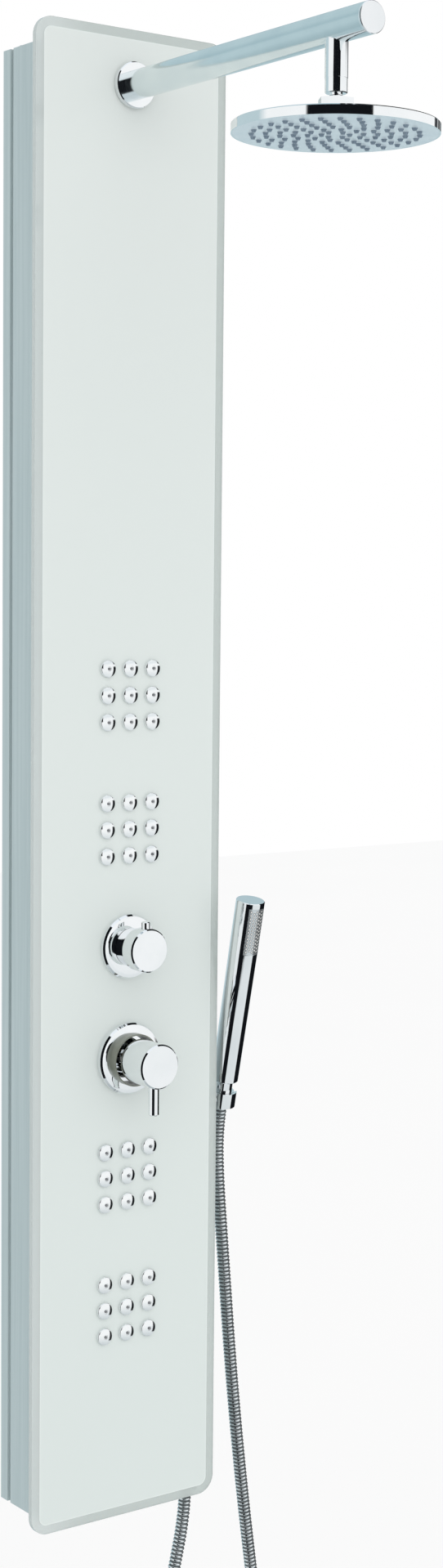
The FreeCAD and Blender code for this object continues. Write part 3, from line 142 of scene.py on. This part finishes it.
def blend(tree, factor, first, second, kind="MIX"):
    """A mix of two colours, each a socket or (r, g, b)."""
    new = node(tree, "ShaderNodeMix", data_type="RGBA", blend_type=kind)
    for socket, value in ((new.inputs[0], factor), (new.inputs[6], first), (new.inputs[7], second)):
        if isinstance(value, tuple):
            socket.default_value = (*value, 1)
        elif isinstance(value, float):
            socket.default_value = value
        else:
            wire(tree, value, socket)
    return new.outputs[2]


def noise(tree, place, scale, detail=3.0, stretch=None):
    if stretch is not None:
        mapping = node(tree, "ShaderNodeMapping")
        mapping.inputs["Scale"].default_value = stretch
        wire(tree, place, mapping.inputs["Vector"])
        place = mapping.outputs[0]
    new = node(tree, "ShaderNodeTexNoise")
    new.inputs["Scale"].default_value = scale
    new.inputs["Detail"].default_value = detail
    wire(tree, place, new.inputs["Vector"])
    return new.outputs["Fac"]


def bump(tree, shader, height, strength, distance=0.0002):
    new = node(tree, "ShaderNodeBump")
    new.inputs["Strength"].default_value = strength
    new.inputs["Distance"].default_value = distance
    wire(tree, height, new.inputs["Height"])
    wire(tree, new.outputs[0], shader.inputs["Normal"])


# ---- Materials ----

def plain(name, dark, light, rough, scale=60, metallic=0.0, coat=0.0, bumps=0.0, stretch=None, spread=0.06):
    """Two near tones mixed by fine noise, with a roughness that wanders a little."""
    material, tree, shader, place = blank(name)
    grain = noise(tree, place, scale, stretch=stretch)
    wire(tree, ramp(tree, grain, [(0.3, dark), (0.7, light)]), shader.inputs["Base Color"])
    low, high = max(0.0, rough - spread / 2), rough + spread / 2
    tone = ramp(tree, noise(tree, place, scale * 0.2), [(0.2, (low,) * 3), (0.8, (high,) * 3)])
    wire(tree, tone, shader.inputs["Roughness"])
    shader.inputs["Metallic"].default_value = metallic
    shader.inputs["Coat Weight"].default_value = coat
    if bumps:
        bump(tree, shader, grain, bumps)
    return material


def brushed(name, dark, light, rough, stretch, metallic=1.0):
    """Anodised or drawn metal with fine lines one way."""
    return plain(name, dark, light, rough, scale=240, metallic=metallic, bumps=0.05, stretch=stretch)


MARGIN = 0.010  # the clear glass outside the paint
PAINT_CORNER = 0.009
PAINT_HIGHLIGHT_WIDTH = 0.0016  # width of the painted highlight along the paint's edge
# The paint's low and high tones are painted shade: darker towards the bottom, lighter towards the top.
PAINT_SHADED_LOW, PAINT_LIT_HIGH, PAINT_EDGE_HIGHLIGHT = (0.725, 0.79, 0.77), (0.77, 0.82, 0.80), (0.80, 0.86, 0.84)
# The clear margin's tones are painted light and shade: lighter on the left, darker on the right.
MARGIN_LIT_LEFT, MARGIN_SHADED_RIGHT = (0.75, 0.81, 0.80), (0.655, 0.72, 0.70)


def glass_material():
    """Glass with its back painted pale inside a clear margin, whose line is drawn by distance. Painted shade
    darkens the paint towards the bottom and the margin on the right, and a painted highlight lines the
    paint's edge.
    """
    material, tree, shader, place = blank("glass_and_paint")
    axes = node(tree, "ShaderNodeSeparateXYZ")
    wire(tree, place, axes.inputs[0])
    half_x = GLASS_WIDTH / 2 - MARGIN - PAINT_CORNER
    half_z = GLASS_HEIGHT / 2 - MARGIN - PAINT_CORNER
    from_middle = sums(tree, "ABSOLUTE", axes.outputs[0])
    from_level = sums(tree, "ABSOLUTE", sums(tree, "SUBTRACT", axes.outputs[2], GLASS_HEIGHT / 2 - HANG))
    away_x = sums(tree, "MAXIMUM", sums(tree, "SUBTRACT", from_middle, half_x), 0.0)
    away_z = sums(tree, "MAXIMUM", sums(tree, "SUBTRACT", from_level, half_z), 0.0)
    square = sums(tree, "ADD", sums(tree, "MULTIPLY", away_x, away_x), sums(tree, "MULTIPLY", away_z, away_z))
    distance = sums(tree, "SQRT", square)
    clear = sums(tree, "MULTIPLY", sums(tree, "SUBTRACT", distance, PAINT_CORNER), 4000.0, clamp=True)
    # Painted shade: the paint darkens towards the bottom and lightens towards the top, with random tone
    # added.
    painted_light_rise = sums(tree, "ADD", sums(tree, "MULTIPLY", axes.outputs[2], 0.62), 0.88)
    shade = sums(tree, "ADD", painted_light_rise, sums(tree, "MULTIPLY", noise(tree, place, 2.2, detail=1.0), 0.08))
    paint = ramp(tree, shade, [(0.1, PAINT_SHADED_LOW), (0.95, PAINT_LIT_HIGH)])
    # Painted highlight: a brighter line along the paint's edge.
    past_line = sums(tree, "SUBTRACT", distance, PAINT_CORNER - PAINT_HIGHLIGHT_WIDTH)
    line = blend(tree, sums(tree, "MULTIPLY", past_line, 600.0, clamp=True), paint, PAINT_EDGE_HIGHLIGHT)
    # Painted light and shade: the margin is lighter on the left and darker on the right.
    across = sums(tree, "ADD", sums(tree, "MULTIPLY", axes.outputs[0], 4.0), 0.5)
    margin = ramp(tree, across, [(0.1, MARGIN_LIT_LEFT), (0.3, MARGIN_SHADED_RIGHT)])
    wire(tree, blend(tree, clear, line, margin), shader.inputs["Base Color"])
    wire(tree, sums(tree, "MULTIPLY", clear, 0.3), shader.inputs["Transmission Weight"])
    haze = sums(tree, "ADD", sums(tree, "MULTIPLY", clear, -0.42), 0.45)
    wire(tree, sums(tree, "ADD", haze, sums(tree, "MULTIPLY", noise(tree, place, 9.0), 0.02)),
         shader.inputs["Roughness"])
    shader.inputs["IOR"].default_value = 1.5
    return material


CHROME = plain("chrome", (0.88, 0.90, 0.91), (0.93, 0.94, 0.95), 0.05, scale=30, metallic=1.0, spread=0.04)
SOFT_CHROME = plain("arm_chrome", (0.76, 0.83, 0.85), (0.83, 0.89, 0.90), 0.16, scale=30, metallic=1.0)
FACE_CHROME = plain("face_chrome", (0.90, 0.91, 0.92), (0.95, 0.95, 0.96), 0.22, scale=30, metallic=1.0)
GLASS = glass_material()
PROFILE = brushed("silver_profile", (0.50, 0.585, 0.595), (0.56, 0.64, 0.65), 0.4, (1, 1, 0.02), metallic=0.3)
STEEL = brushed("zinc_steel", (0.55, 0.57, 0.60), (0.68, 0.70, 0.72), 0.35, (0.05, 1, 1))
PLATE = plain("nozzle_plate", (0.60, 0.72, 0.79), (0.66, 0.77, 0.83), 0.25, coat=0.2)
NOZZLE = plain("nozzle_rubber", (0.16, 0.22, 0.29), (0.22, 0.29, 0.36), 0.4, bumps=0.1)
# Painted shade: the mixer sleeve is coloured dark olive to stand in for the shadow in the gap round the
# handle.
SHADED_SLEEVE = plain("sleeve_painted_shade", (0.19, 0.21, 0.17), (0.25, 0.265, 0.225), 0.3, coat=0.2)
WHITE = plain("white_moulding", (0.72, 0.72, 0.70), (0.80, 0.80, 0.78), 0.4, bumps=0.1)
BRASS = plain("machined_brass", (0.62, 0.46, 0.20), (0.74, 0.58, 0.28), 0.3, metallic=1.0, bumps=0.1)
COPPER = plain("copper_pipe", (0.68, 0.36, 0.24), (0.80, 0.46, 0.32), 0.3, metallic=1.0, bumps=0.1)
BLACK = plain("black_rubber", (0.02, 0.02, 0.02), (0.05, 0.05, 0.05), 0.6, bumps=0.2)
SPRAY = plain("spray_face", (0.62, 0.66, 0.68), (0.70, 0.74, 0.76), 0.22, metallic=0.8)
JET_CHROME = plain("jet_chrome", (0.90, 0.92, 0.93), (0.95, 0.96, 0.96), 0.1, scale=30, metallic=1.0)
# Painted shade: a near-black ring laid flat round each spray nozzle.
NOZZLE_RING_SHADE = plain("nozzle_ring_painted_shade", (0.05, 0.055, 0.06), (0.09, 0.10, 0.11), 0.4)
JET_CORE = plain("jet_core", (0.16, 0.17, 0.18), (0.24, 0.25, 0.26), 0.4)
HOSE_METAL = plain("hose_metal", (0.74, 0.77, 0.78), (0.84, 0.87, 0.88), 0.12, scale=90, metallic=1.0)
# Painted shade: the hose's grooves are the same metal, coloured near-black for the shade between the ribs.
HOSE_GROOVE_SHADE = plain("hose_groove_painted_shade", (0.07, 0.08, 0.085), (0.13, 0.145, 0.15), 0.4, scale=90)

# Nodes that aren't named here are chrome.
FINISHES = {
    "glass_panel": GLASS,
    "bonding_tape": BLACK, "arm_gasket": BLACK,
    "casing_profile": PROFILE, "casing_top_cap": PROFILE, "casing_bottom_cap": PROFILE,
    "upper_wall_bracket": STEEL, "lower_wall_bracket": STEEL, "upper_hanger_plate": STEEL,
    "lower_hanger_plate": STEEL, "cap_screws": STEEL, "holder_screw": STEEL, "handle_pin": STEEL,
    "shower_arm": SOFT_CHROME, "arm_end_cap": FACE_CHROME,
    "nozzle_plate": PLATE, "head_nozzles": NOZZLE, "jet_nozzles": JET_CORE, "mixer_sleeve": SHADED_SLEEVE,
    "jet_manifolds": WHITE, "diverter_cartridge": WHITE, "mixer_cartridge": WHITE,
    "inner_ball_liner": WHITE, "outer_ball_liner": WHITE,
    "arm_tail": BRASS, "arm_backnut": BRASS, "arm_elbow": BRASS, "diverter_body": BRASS,
    "mixer_body": BRASS, "outlet_elbow": BRASS, "hot_inlet": BRASS, "cold_inlet": BRASS,
    "check_valves": BRASS, "diverter_stem": BRASS, "mixer_spindle": BRASS,
    "riser_pipe": COPPER, "mixed_water_pipe": COPPER, "jet_feed_pipe": COPPER,
    "handset_feed_pipe": COPPER, "supply_pipes": COPPER,
    "handset_spray_face": SPRAY,
}


# ---- Smooth shading ----

WELD = 0.000001
SHALLOW = math.radians(24)


def smoothing():
    """A modifier that welds a node's faces and shades its shallow edges smooth."""
    tree = bpy.data.node_groups.new("smooth_shallow_edges", "GeometryNodeTree")
    tree.interface.new_socket("Geometry", in_out="INPUT", socket_type="NodeSocketGeometry")
    tree.interface.new_socket("Geometry", in_out="OUTPUT", socket_type="NodeSocketGeometry")
    start, end = node(tree, "NodeGroupInput"), node(tree, "NodeGroupOutput")
    weld = node(tree, "GeometryNodeMergeByDistance")
    weld.inputs["Distance"].default_value = WELD
    angle = node(tree, "GeometryNodeInputMeshEdgeAngle")
    test = node(tree, "FunctionNodeCompare", data_type="FLOAT", operation="LESS_THAN")
    wire(tree, angle.outputs["Unsigned Angle"], test.inputs[0])
    test.inputs[1].default_value = SHALLOW
    faces = node(tree, "GeometryNodeSetShadeSmooth", domain="FACE")
    edges = node(tree, "GeometryNodeSetShadeSmooth", domain="EDGE")
    wire(tree, start.outputs[0], weld.inputs["Geometry"])
    wire(tree, weld.outputs["Geometry"], faces.inputs["Geometry"])
    wire(tree, faces.outputs["Geometry"], edges.inputs["Geometry"])
    wire(tree, test.outputs[0], edges.inputs["Shade Smooth"])
    wire(tree, edges.outputs["Geometry"], end.inputs[0])
    return tree


SMOOTH = smoothing()


def smooth(obj):
    obj.modifiers.new("smooth", "NODES").node_group = SMOOTH


for name, obj in NODES.items():
    obj.data.materials.clear()
    obj.data.materials.append(FINISHES.get(name, CHROME))
    smooth(obj)


# ---- Mesh helpers ----

def mesh_of(bm, name):
    mesh = bpy.data.meshes.new(name)
    bm.to_mesh(mesh)
    bm.free()
    return mesh


def add(name, bm, materials, body=None):
    """A new smooth-shaded piece, riding on a body where one is named."""
    mesh = mesh_of(bm, name)
    obj = bpy.data.objects.new(name, mesh)
    bpy.context.scene.collection.objects.link(obj)
    for material in materials:
        mesh.materials.append(material)
    for face in mesh.polygons:
        face.use_smooth = True
    if body:
        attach(obj, body)
    return obj


def ring(bm, middle, x_axis, y_axis, radius, count):
    return [bm.verts.new(middle + x_axis * (radius * math.cos(2 * math.pi * k / count))
                         + y_axis * (radius * math.sin(2 * math.pi * k / count))) for k in range(count)]


def lathe(bm, middle, axis, side, profile, count, material=0):
    """Turns a profile of (radius, height) in millimetres about an axis, which its ends may lie on."""
    other = axis.cross(side)
    previous = None
    for radius, height in profile:
        centre = middle + axis * (height * MM)
        if radius == 0:
            circle = [bm.verts.new(centre)] * count
        else:
            circle = ring(bm, centre, side, other, radius * MM, count)
        if previous:
            for k in range(count):
                corners = (previous[k], previous[(k + 1) % count], circle[(k + 1) % count], circle[k])
                unique = list(dict.fromkeys(corners))
                if len(unique) > 2:
                    bm.faces.new(unique).material_index = material
        previous = circle


# ---- The hose ----

# Control points across, out and up, from the handset's nut down the loop to the panel's outlet.
HOSE_ROUTE = [
    (142, -60.668, 435.925), (142, -54.25, 406.5), (143.6, -54, 352), (150.5, -56, 262), (163, -58, 112),
    (181, -59, -38), (199, -60, -160), (206, -60, -305.3), (157.4, -60, -353.9), (88.6, -60, -353.9),
    (40, -60, -305.3), (43, -60, -240), (64, -60, -162), (83, -60, -92), (97, -60, -26), (97, -60, 0.3)]
HOSE_RIBS, HOSE_SIDES = 284, 20
GROOVE_RADIUS, RIB_HEIGHT = 5.9, 1.3
RIB_PROFILE = [0.0, 0.0, 0.7, 1.0, 1.0, 0.7]
GROOVE_SHADE_STEPS = 3  # the first steps of each rib, dark with painted shade in the groove


def route_points(route):
    """Points along the route's smooth line."""
    curve = bpy.data.curves.new("hose_line", "CURVE")
    curve.dimensions = "3D"
    curve.resolution_u = 64
    spline = curve.splines.new("NURBS")
    spline.points.add(len(route) - 1)
    for point, (x, y, z) in zip(spline.points, route):
        point.co = (x * MM, y * MM, z * MM - HANG, 1)
    spline.order_u = 3
    spline.use_endpoint_u = True
    line = bpy.data.objects.new("hose_line", curve)
    bpy.context.scene.collection.objects.link(line)
    bpy.context.view_layer.update()
    mesh = bpy.data.meshes.new_from_object(line.evaluated_get(bpy.context.evaluated_depsgraph_get()))
    points = [vertex.co.copy() for vertex in mesh.vertices]
    bpy.data.meshes.remove(mesh)
    bpy.data.objects.remove(line)
    bpy.data.curves.remove(curve)
    return points


def evenly(points, count):
    """Points at equal steps along a line of points, with their directions."""
    lengths = [0.0]
    for a, b in zip(points, points[1:]):
        lengths.append(lengths[-1] + (b - a).length)
    result, at = [], 0
    for i in range(count + 1):
        wanted = lengths[-1] * i / count
        while at < len(points) - 2 and lengths[at + 1] < wanted:
            at += 1
        share = (wanted - lengths[at]) / max(1e-9, lengths[at + 1] - lengths[at])
        result.append((points[at].lerp(points[at + 1], share), (points[at + 1] - points[at]).normalized()))
    return result


def ribbed_hose():
    """A metal spiral hose: fine rounded ribs on one steady tube, with painted shade on the groove faces
    between the ribs.
    """
    points = route_points(HOSE_ROUTE)
    steps = len(RIB_PROFILE)
    bm = bmesh.new()
    previous = None
    for i, (middle, direction) in enumerate(evenly(points, HOSE_RIBS * steps)):
        x_axis = (-OUT).cross(direction).normalized()
        y_axis = direction.cross(x_axis)
        radius = (GROOVE_RADIUS + RIB_HEIGHT * RIB_PROFILE[i % steps]) * MM
        circle = ring(bm, middle, x_axis, y_axis, radius, HOSE_SIDES)
        if previous:
            for k in range(HOSE_SIDES):
                after = (k + 1) % HOSE_SIDES
                face = bm.faces.new((previous[k], previous[after], circle[after], circle[k]))
                # Painted shade: the groove faces get the near-black material.
                face.material_index = 1 if i % steps < GROOVE_SHADE_STEPS else 0
        else:
            bm.faces.new(list(reversed(circle)))
        previous = circle
    bm.faces.new(previous)
    hose = add("ribbed_hose", bm, (HOSE_METAL, HOSE_GROOVE_SHADE))
    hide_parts("hose")
    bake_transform(hose)


ribbed_hose()


# ---- The body jets ----

JET_GROUPS = (902.8, 758.9, 379.8, 233.6)  # heights of the groups' middle rows
JET_PITCH = 28.6
GLASS_FRONT = 82
JET_BODY = [(6.0, -9.9), (6.0, 0.0), (9.2, 0.0), (9.2, 2.2)]
JET_ROUND, JET_ROUND_MIDDLE = 0.8, (8.4, 2.2)
JET_FACE = [(7.0, 3.43), (5.5, 3.78), (4.0, 4.02), (2.6, 4.16), (2.4, 3.9), (0, 3.9)]
JET_CORE_PROFILE = [(0, 3.92), (1.7, 3.92), (1.6, 4.6), (1.1, 5.0), (0, 5.0)]


def jet_places():
    return [(JET_PITCH * column, group + JET_PITCH * line) for group in JET_GROUPS
            for line in (-1, 0, 1) for column in (-1, 0, 1)]


def domes():
    """Smooth domes with a small dark core, in place of the faceted ones."""
    shell, cores = bmesh.new(), bmesh.new()
    radius, height = JET_ROUND_MIDDLE
    angles = [math.radians(degrees) for degrees in (15, 30, 45, 60, 75)]
    rim = [(radius + JET_ROUND * math.cos(a), height + JET_ROUND * math.sin(a)) for a in angles]
    for x, z in jet_places():
        lathe(shell, row(x, GLASS_FRONT, z), OUT, ACROSS, JET_BODY + rim + JET_FACE, 32)
        lathe(cores, row(x, GLASS_FRONT, z), OUT, ACROSS, JET_CORE_PROFILE, 16)
    for bm, name, material, replaced, slot in ((shell, "jet_domes", JET_CHROME, "body_jets", "chromed_brass"),
                                               (cores, "jet_cores", JET_CORE, "jet_nozzles", "jet_core")):
        obj = add(name, bm, (material,), "panel")
        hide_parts(replaced)
        smooth(obj)


domes()


# ---- Handset details ----

HANDSET_FOOT = (142, 67.4, 466.8)
HANDSET_LEAN = math.radians(12.3)
SPRAY_START, SPRAY_STEP = 157.0, 3.9  # along the handset from its foot
SPRAY_RADIUS = 15.15
SPRAY_TURN = math.radians(13.5)  # from one column of nozzles to the next, round the handset
SPRAY_SHADE_RING = [(1.45, -0.2), (1.45, 0.06), (1.0, 0.06)]
SPRAY_NOZZLE = [(1.0, 0.06), (0.95, 0.35), (0.6, 0.6), (0, 0.62)]


def spray_bumps():
    """Staggered columns of tiny nozzles on the handset's spray face, each in a flat dark ring of painted
    shade.
    """
    axis = Vector((0, -math.sin(HANDSET_LEAN), math.cos(HANDSET_LEAN)))
    front = Vector((0, -math.cos(HANDSET_LEAN), -math.sin(HANDSET_LEAN)))
    bm = bmesh.new()
    for column in range(-2, 3):
        shifted = column % 2
        normal = front * math.cos(SPRAY_TURN * column) + ACROSS * math.sin(SPRAY_TURN * column)
        for line in range(13 - shifted):
            height = SPRAY_START + SPRAY_STEP * (line + shifted / 2)
            base = row(*HANDSET_FOOT) + axis * (height * MM) + normal * (SPRAY_RADIUS * MM)
            # Painted shade: the flat dark ring round the nozzle.
            lathe(bm, base, normal, axis, SPRAY_SHADE_RING, 10, material=1)
            lathe(bm, base, normal, axis, SPRAY_NOZZLE, 10)
    add("spray_nozzles", bm, (WHITE, NOZZLE_RING_SHADE), "handset")


spray_bumps()


# ---- Light, floor and background ----

BRIGHT, PALE, DARK = (0.97, 0.985, 0.99), (0.52, 0.65, 0.69), (0.05, 0.055, 0.06)
# What the chrome mirrors, as colours round the room (0.5 is in front, 0.75 to the right).
ROOM_BANDS = [
    (0.0, PALE), (0.135, PALE), (0.17, BRIGHT), (0.70, BRIGHT), (0.77, BRIGHT), (0.775, DARK), (0.80, DARK),
    (0.804, BRIGHT), (0.81, DARK), (0.83, DARK), (0.834, BRIGHT), (0.84, DARK), (0.862, DARK), (0.872, PALE),
    (1.0, PALE)]
# The same from straight down (0) to straight up (1).
ROOM_HEIGHTS = [
    (0.0, (0.45, 0.5, 0.52)), (0.25, (0.8, 0.83, 0.84)), (0.45, (1, 1, 1)), (0.6, (1, 1, 1)),
    (0.68, (0.82, 0.86, 0.88)), (0.8, (1, 1, 1)), (1.0, (0.9, 0.95, 1))]
FLAG_COLOUR = (0.006, 0.007, 0.009)
# Black cloths in the room, each by its edges round the room and its edges from down to up.
FLAGS = [
    ((0.333, 0.336, 0.504, 0.507), (0.49, 0.51, 0.72, 0.73)),
    ((0.302, 0.306, 0.455, 0.458), (0.24, 0.25, 0.49, 0.51)),
    ((0.302, 0.306, 0.40, 0.405), (0.10, 0.11, 0.90, 0.91)),
    ((0.648, 0.655, 0.868, 0.872), (0.24, 0.25, 0.545, 0.55)),
    ((0.66, 0.665, 0.868, 0.872), (0.605, 0.61, 0.95, 0.96))]
ROOM_LIGHT = (0.82, 0.82, 0.82)
FLOOR_LEVEL, FLOOR_REACH = -1.98, 9
FLOOR_GLOW = 0.7  # how far the floor is white where it is seen; the rest keeps the shadow
SUN_ENERGY, SUN_ANGLE = 0.65, math.radians(80)
SUN_FROM = (-0.45, -0.85, 0.55)


def make_world():
    """White where it is seen, an even pale grey as soft light, and bands for the chrome to mirror."""
    world = bpy.data.worlds.new("studio")
    bpy.context.scene.world = world
    world.use_nodes = True
    tree = world.node_tree
    background = tree.nodes["Background"]
    axes = node(tree, "ShaderNodeSeparateXYZ")
    wire(tree, node(tree, "ShaderNodeTexCoord").outputs["Generated"], axes.inputs[0])
    azimuth = sums(tree, "ARCTAN2", axes.outputs[0], sums(tree, "MULTIPLY", axes.outputs[1], -1.0))
    around = sums(tree, "ADD", sums(tree, "DIVIDE", azimuth, 2 * math.pi), 0.5)
    level = sums(tree, "ADD", sums(tree, "MULTIPLY", axes.outputs[2], 0.5), 0.5)
    studio = blend(tree, 1.0, ramp(tree, around, ROOM_BANDS), ramp(tree, level, ROOM_HEIGHTS), "MULTIPLY")
    flag = 0.0
    for sides, heights in FLAGS:
        cloth = sums(tree, "MULTIPLY", window(tree, around, sides), window(tree, level, heights))
        flag = sums(tree, "ADD", flag, cloth, clamp=True)
    mirrored = blend(tree, flag, studio, FLAG_COLOUR)
    path = node(tree, "ShaderNodeLightPath")
    lit = blend(tree, path.outputs["Is Glossy Ray"], ROOM_LIGHT, mirrored)
    seen = sums(tree, "MAXIMUM", path.outputs["Is Camera Ray"], path.outputs["Is Transmission Ray"])
    wire(tree, blend(tree, seen, lit, (1.0, 1.0, 1.0)), background.inputs["Color"])
    background.inputs["Strength"].default_value = 1.0


def make_floor():
    """A pale floor that keeps the shadow, and that the chrome looks through to the room's bands."""
    bm = bmesh.new()
    signs = ((-1, -1), (1, -1), (1, 1), (-1, 1))
    bm.faces.new([bm.verts.new((x * FLOOR_REACH, y * FLOOR_REACH, FLOOR_LEVEL)) for x, y in signs])
    floor = bpy.data.objects.new("floor", mesh_of(bm, "floor"))
    bpy.context.scene.collection.objects.link(floor)
    material, tree, shader, place = blank("floor_white")
    tone = ramp(tree, noise(tree, place, 1.5), [(0.3, (0.94, 0.945, 0.945)), (0.7, (0.96, 0.96, 0.96))])
    wire(tree, tone, shader.inputs["Base Color"])
    shader.inputs["Roughness"].default_value = 0.9
    glow = node(tree, "ShaderNodeEmission")
    glow.inputs["Color"].default_value = (1, 1, 1, 1)
    clear = node(tree, "ShaderNodeBsdfTransparent")
    path = node(tree, "ShaderNodeLightPath")
    seen = sums(tree, "MULTIPLY", path.outputs["Is Camera Ray"], FLOOR_GLOW)
    surface = shader.outputs[0]
    for share, other in ((seen, glow), (path.outputs["Is Glossy Ray"], clear)):
        mix = node(tree, "ShaderNodeMixShader")
        wire(tree, share, mix.inputs[0])
        wire(tree, surface, mix.inputs[1])
        wire(tree, other.outputs[0], mix.inputs[2])
        surface = mix.outputs[0]
    wire(tree, surface, tree.nodes["Material Output"].inputs["Surface"])
    floor.data.materials.append(material)


def make_lamp():
    """A wide soft sun from the front left, which the chrome doesn't mirror."""
    data = bpy.data.lights.new("key", "SUN")
    data.energy, data.angle = SUN_ENERGY, SUN_ANGLE
    lamp = bpy.data.objects.new("key", data)
    lamp.visible_glossy = False
    lamp.rotation_euler = Vector(SUN_FROM).to_track_quat("Z", "Y").to_euler()
    bpy.context.scene.collection.objects.link(lamp)


make_world()
make_floor()
make_lamp()
bpy.context.scene.view_settings.view_transform = "Standard"
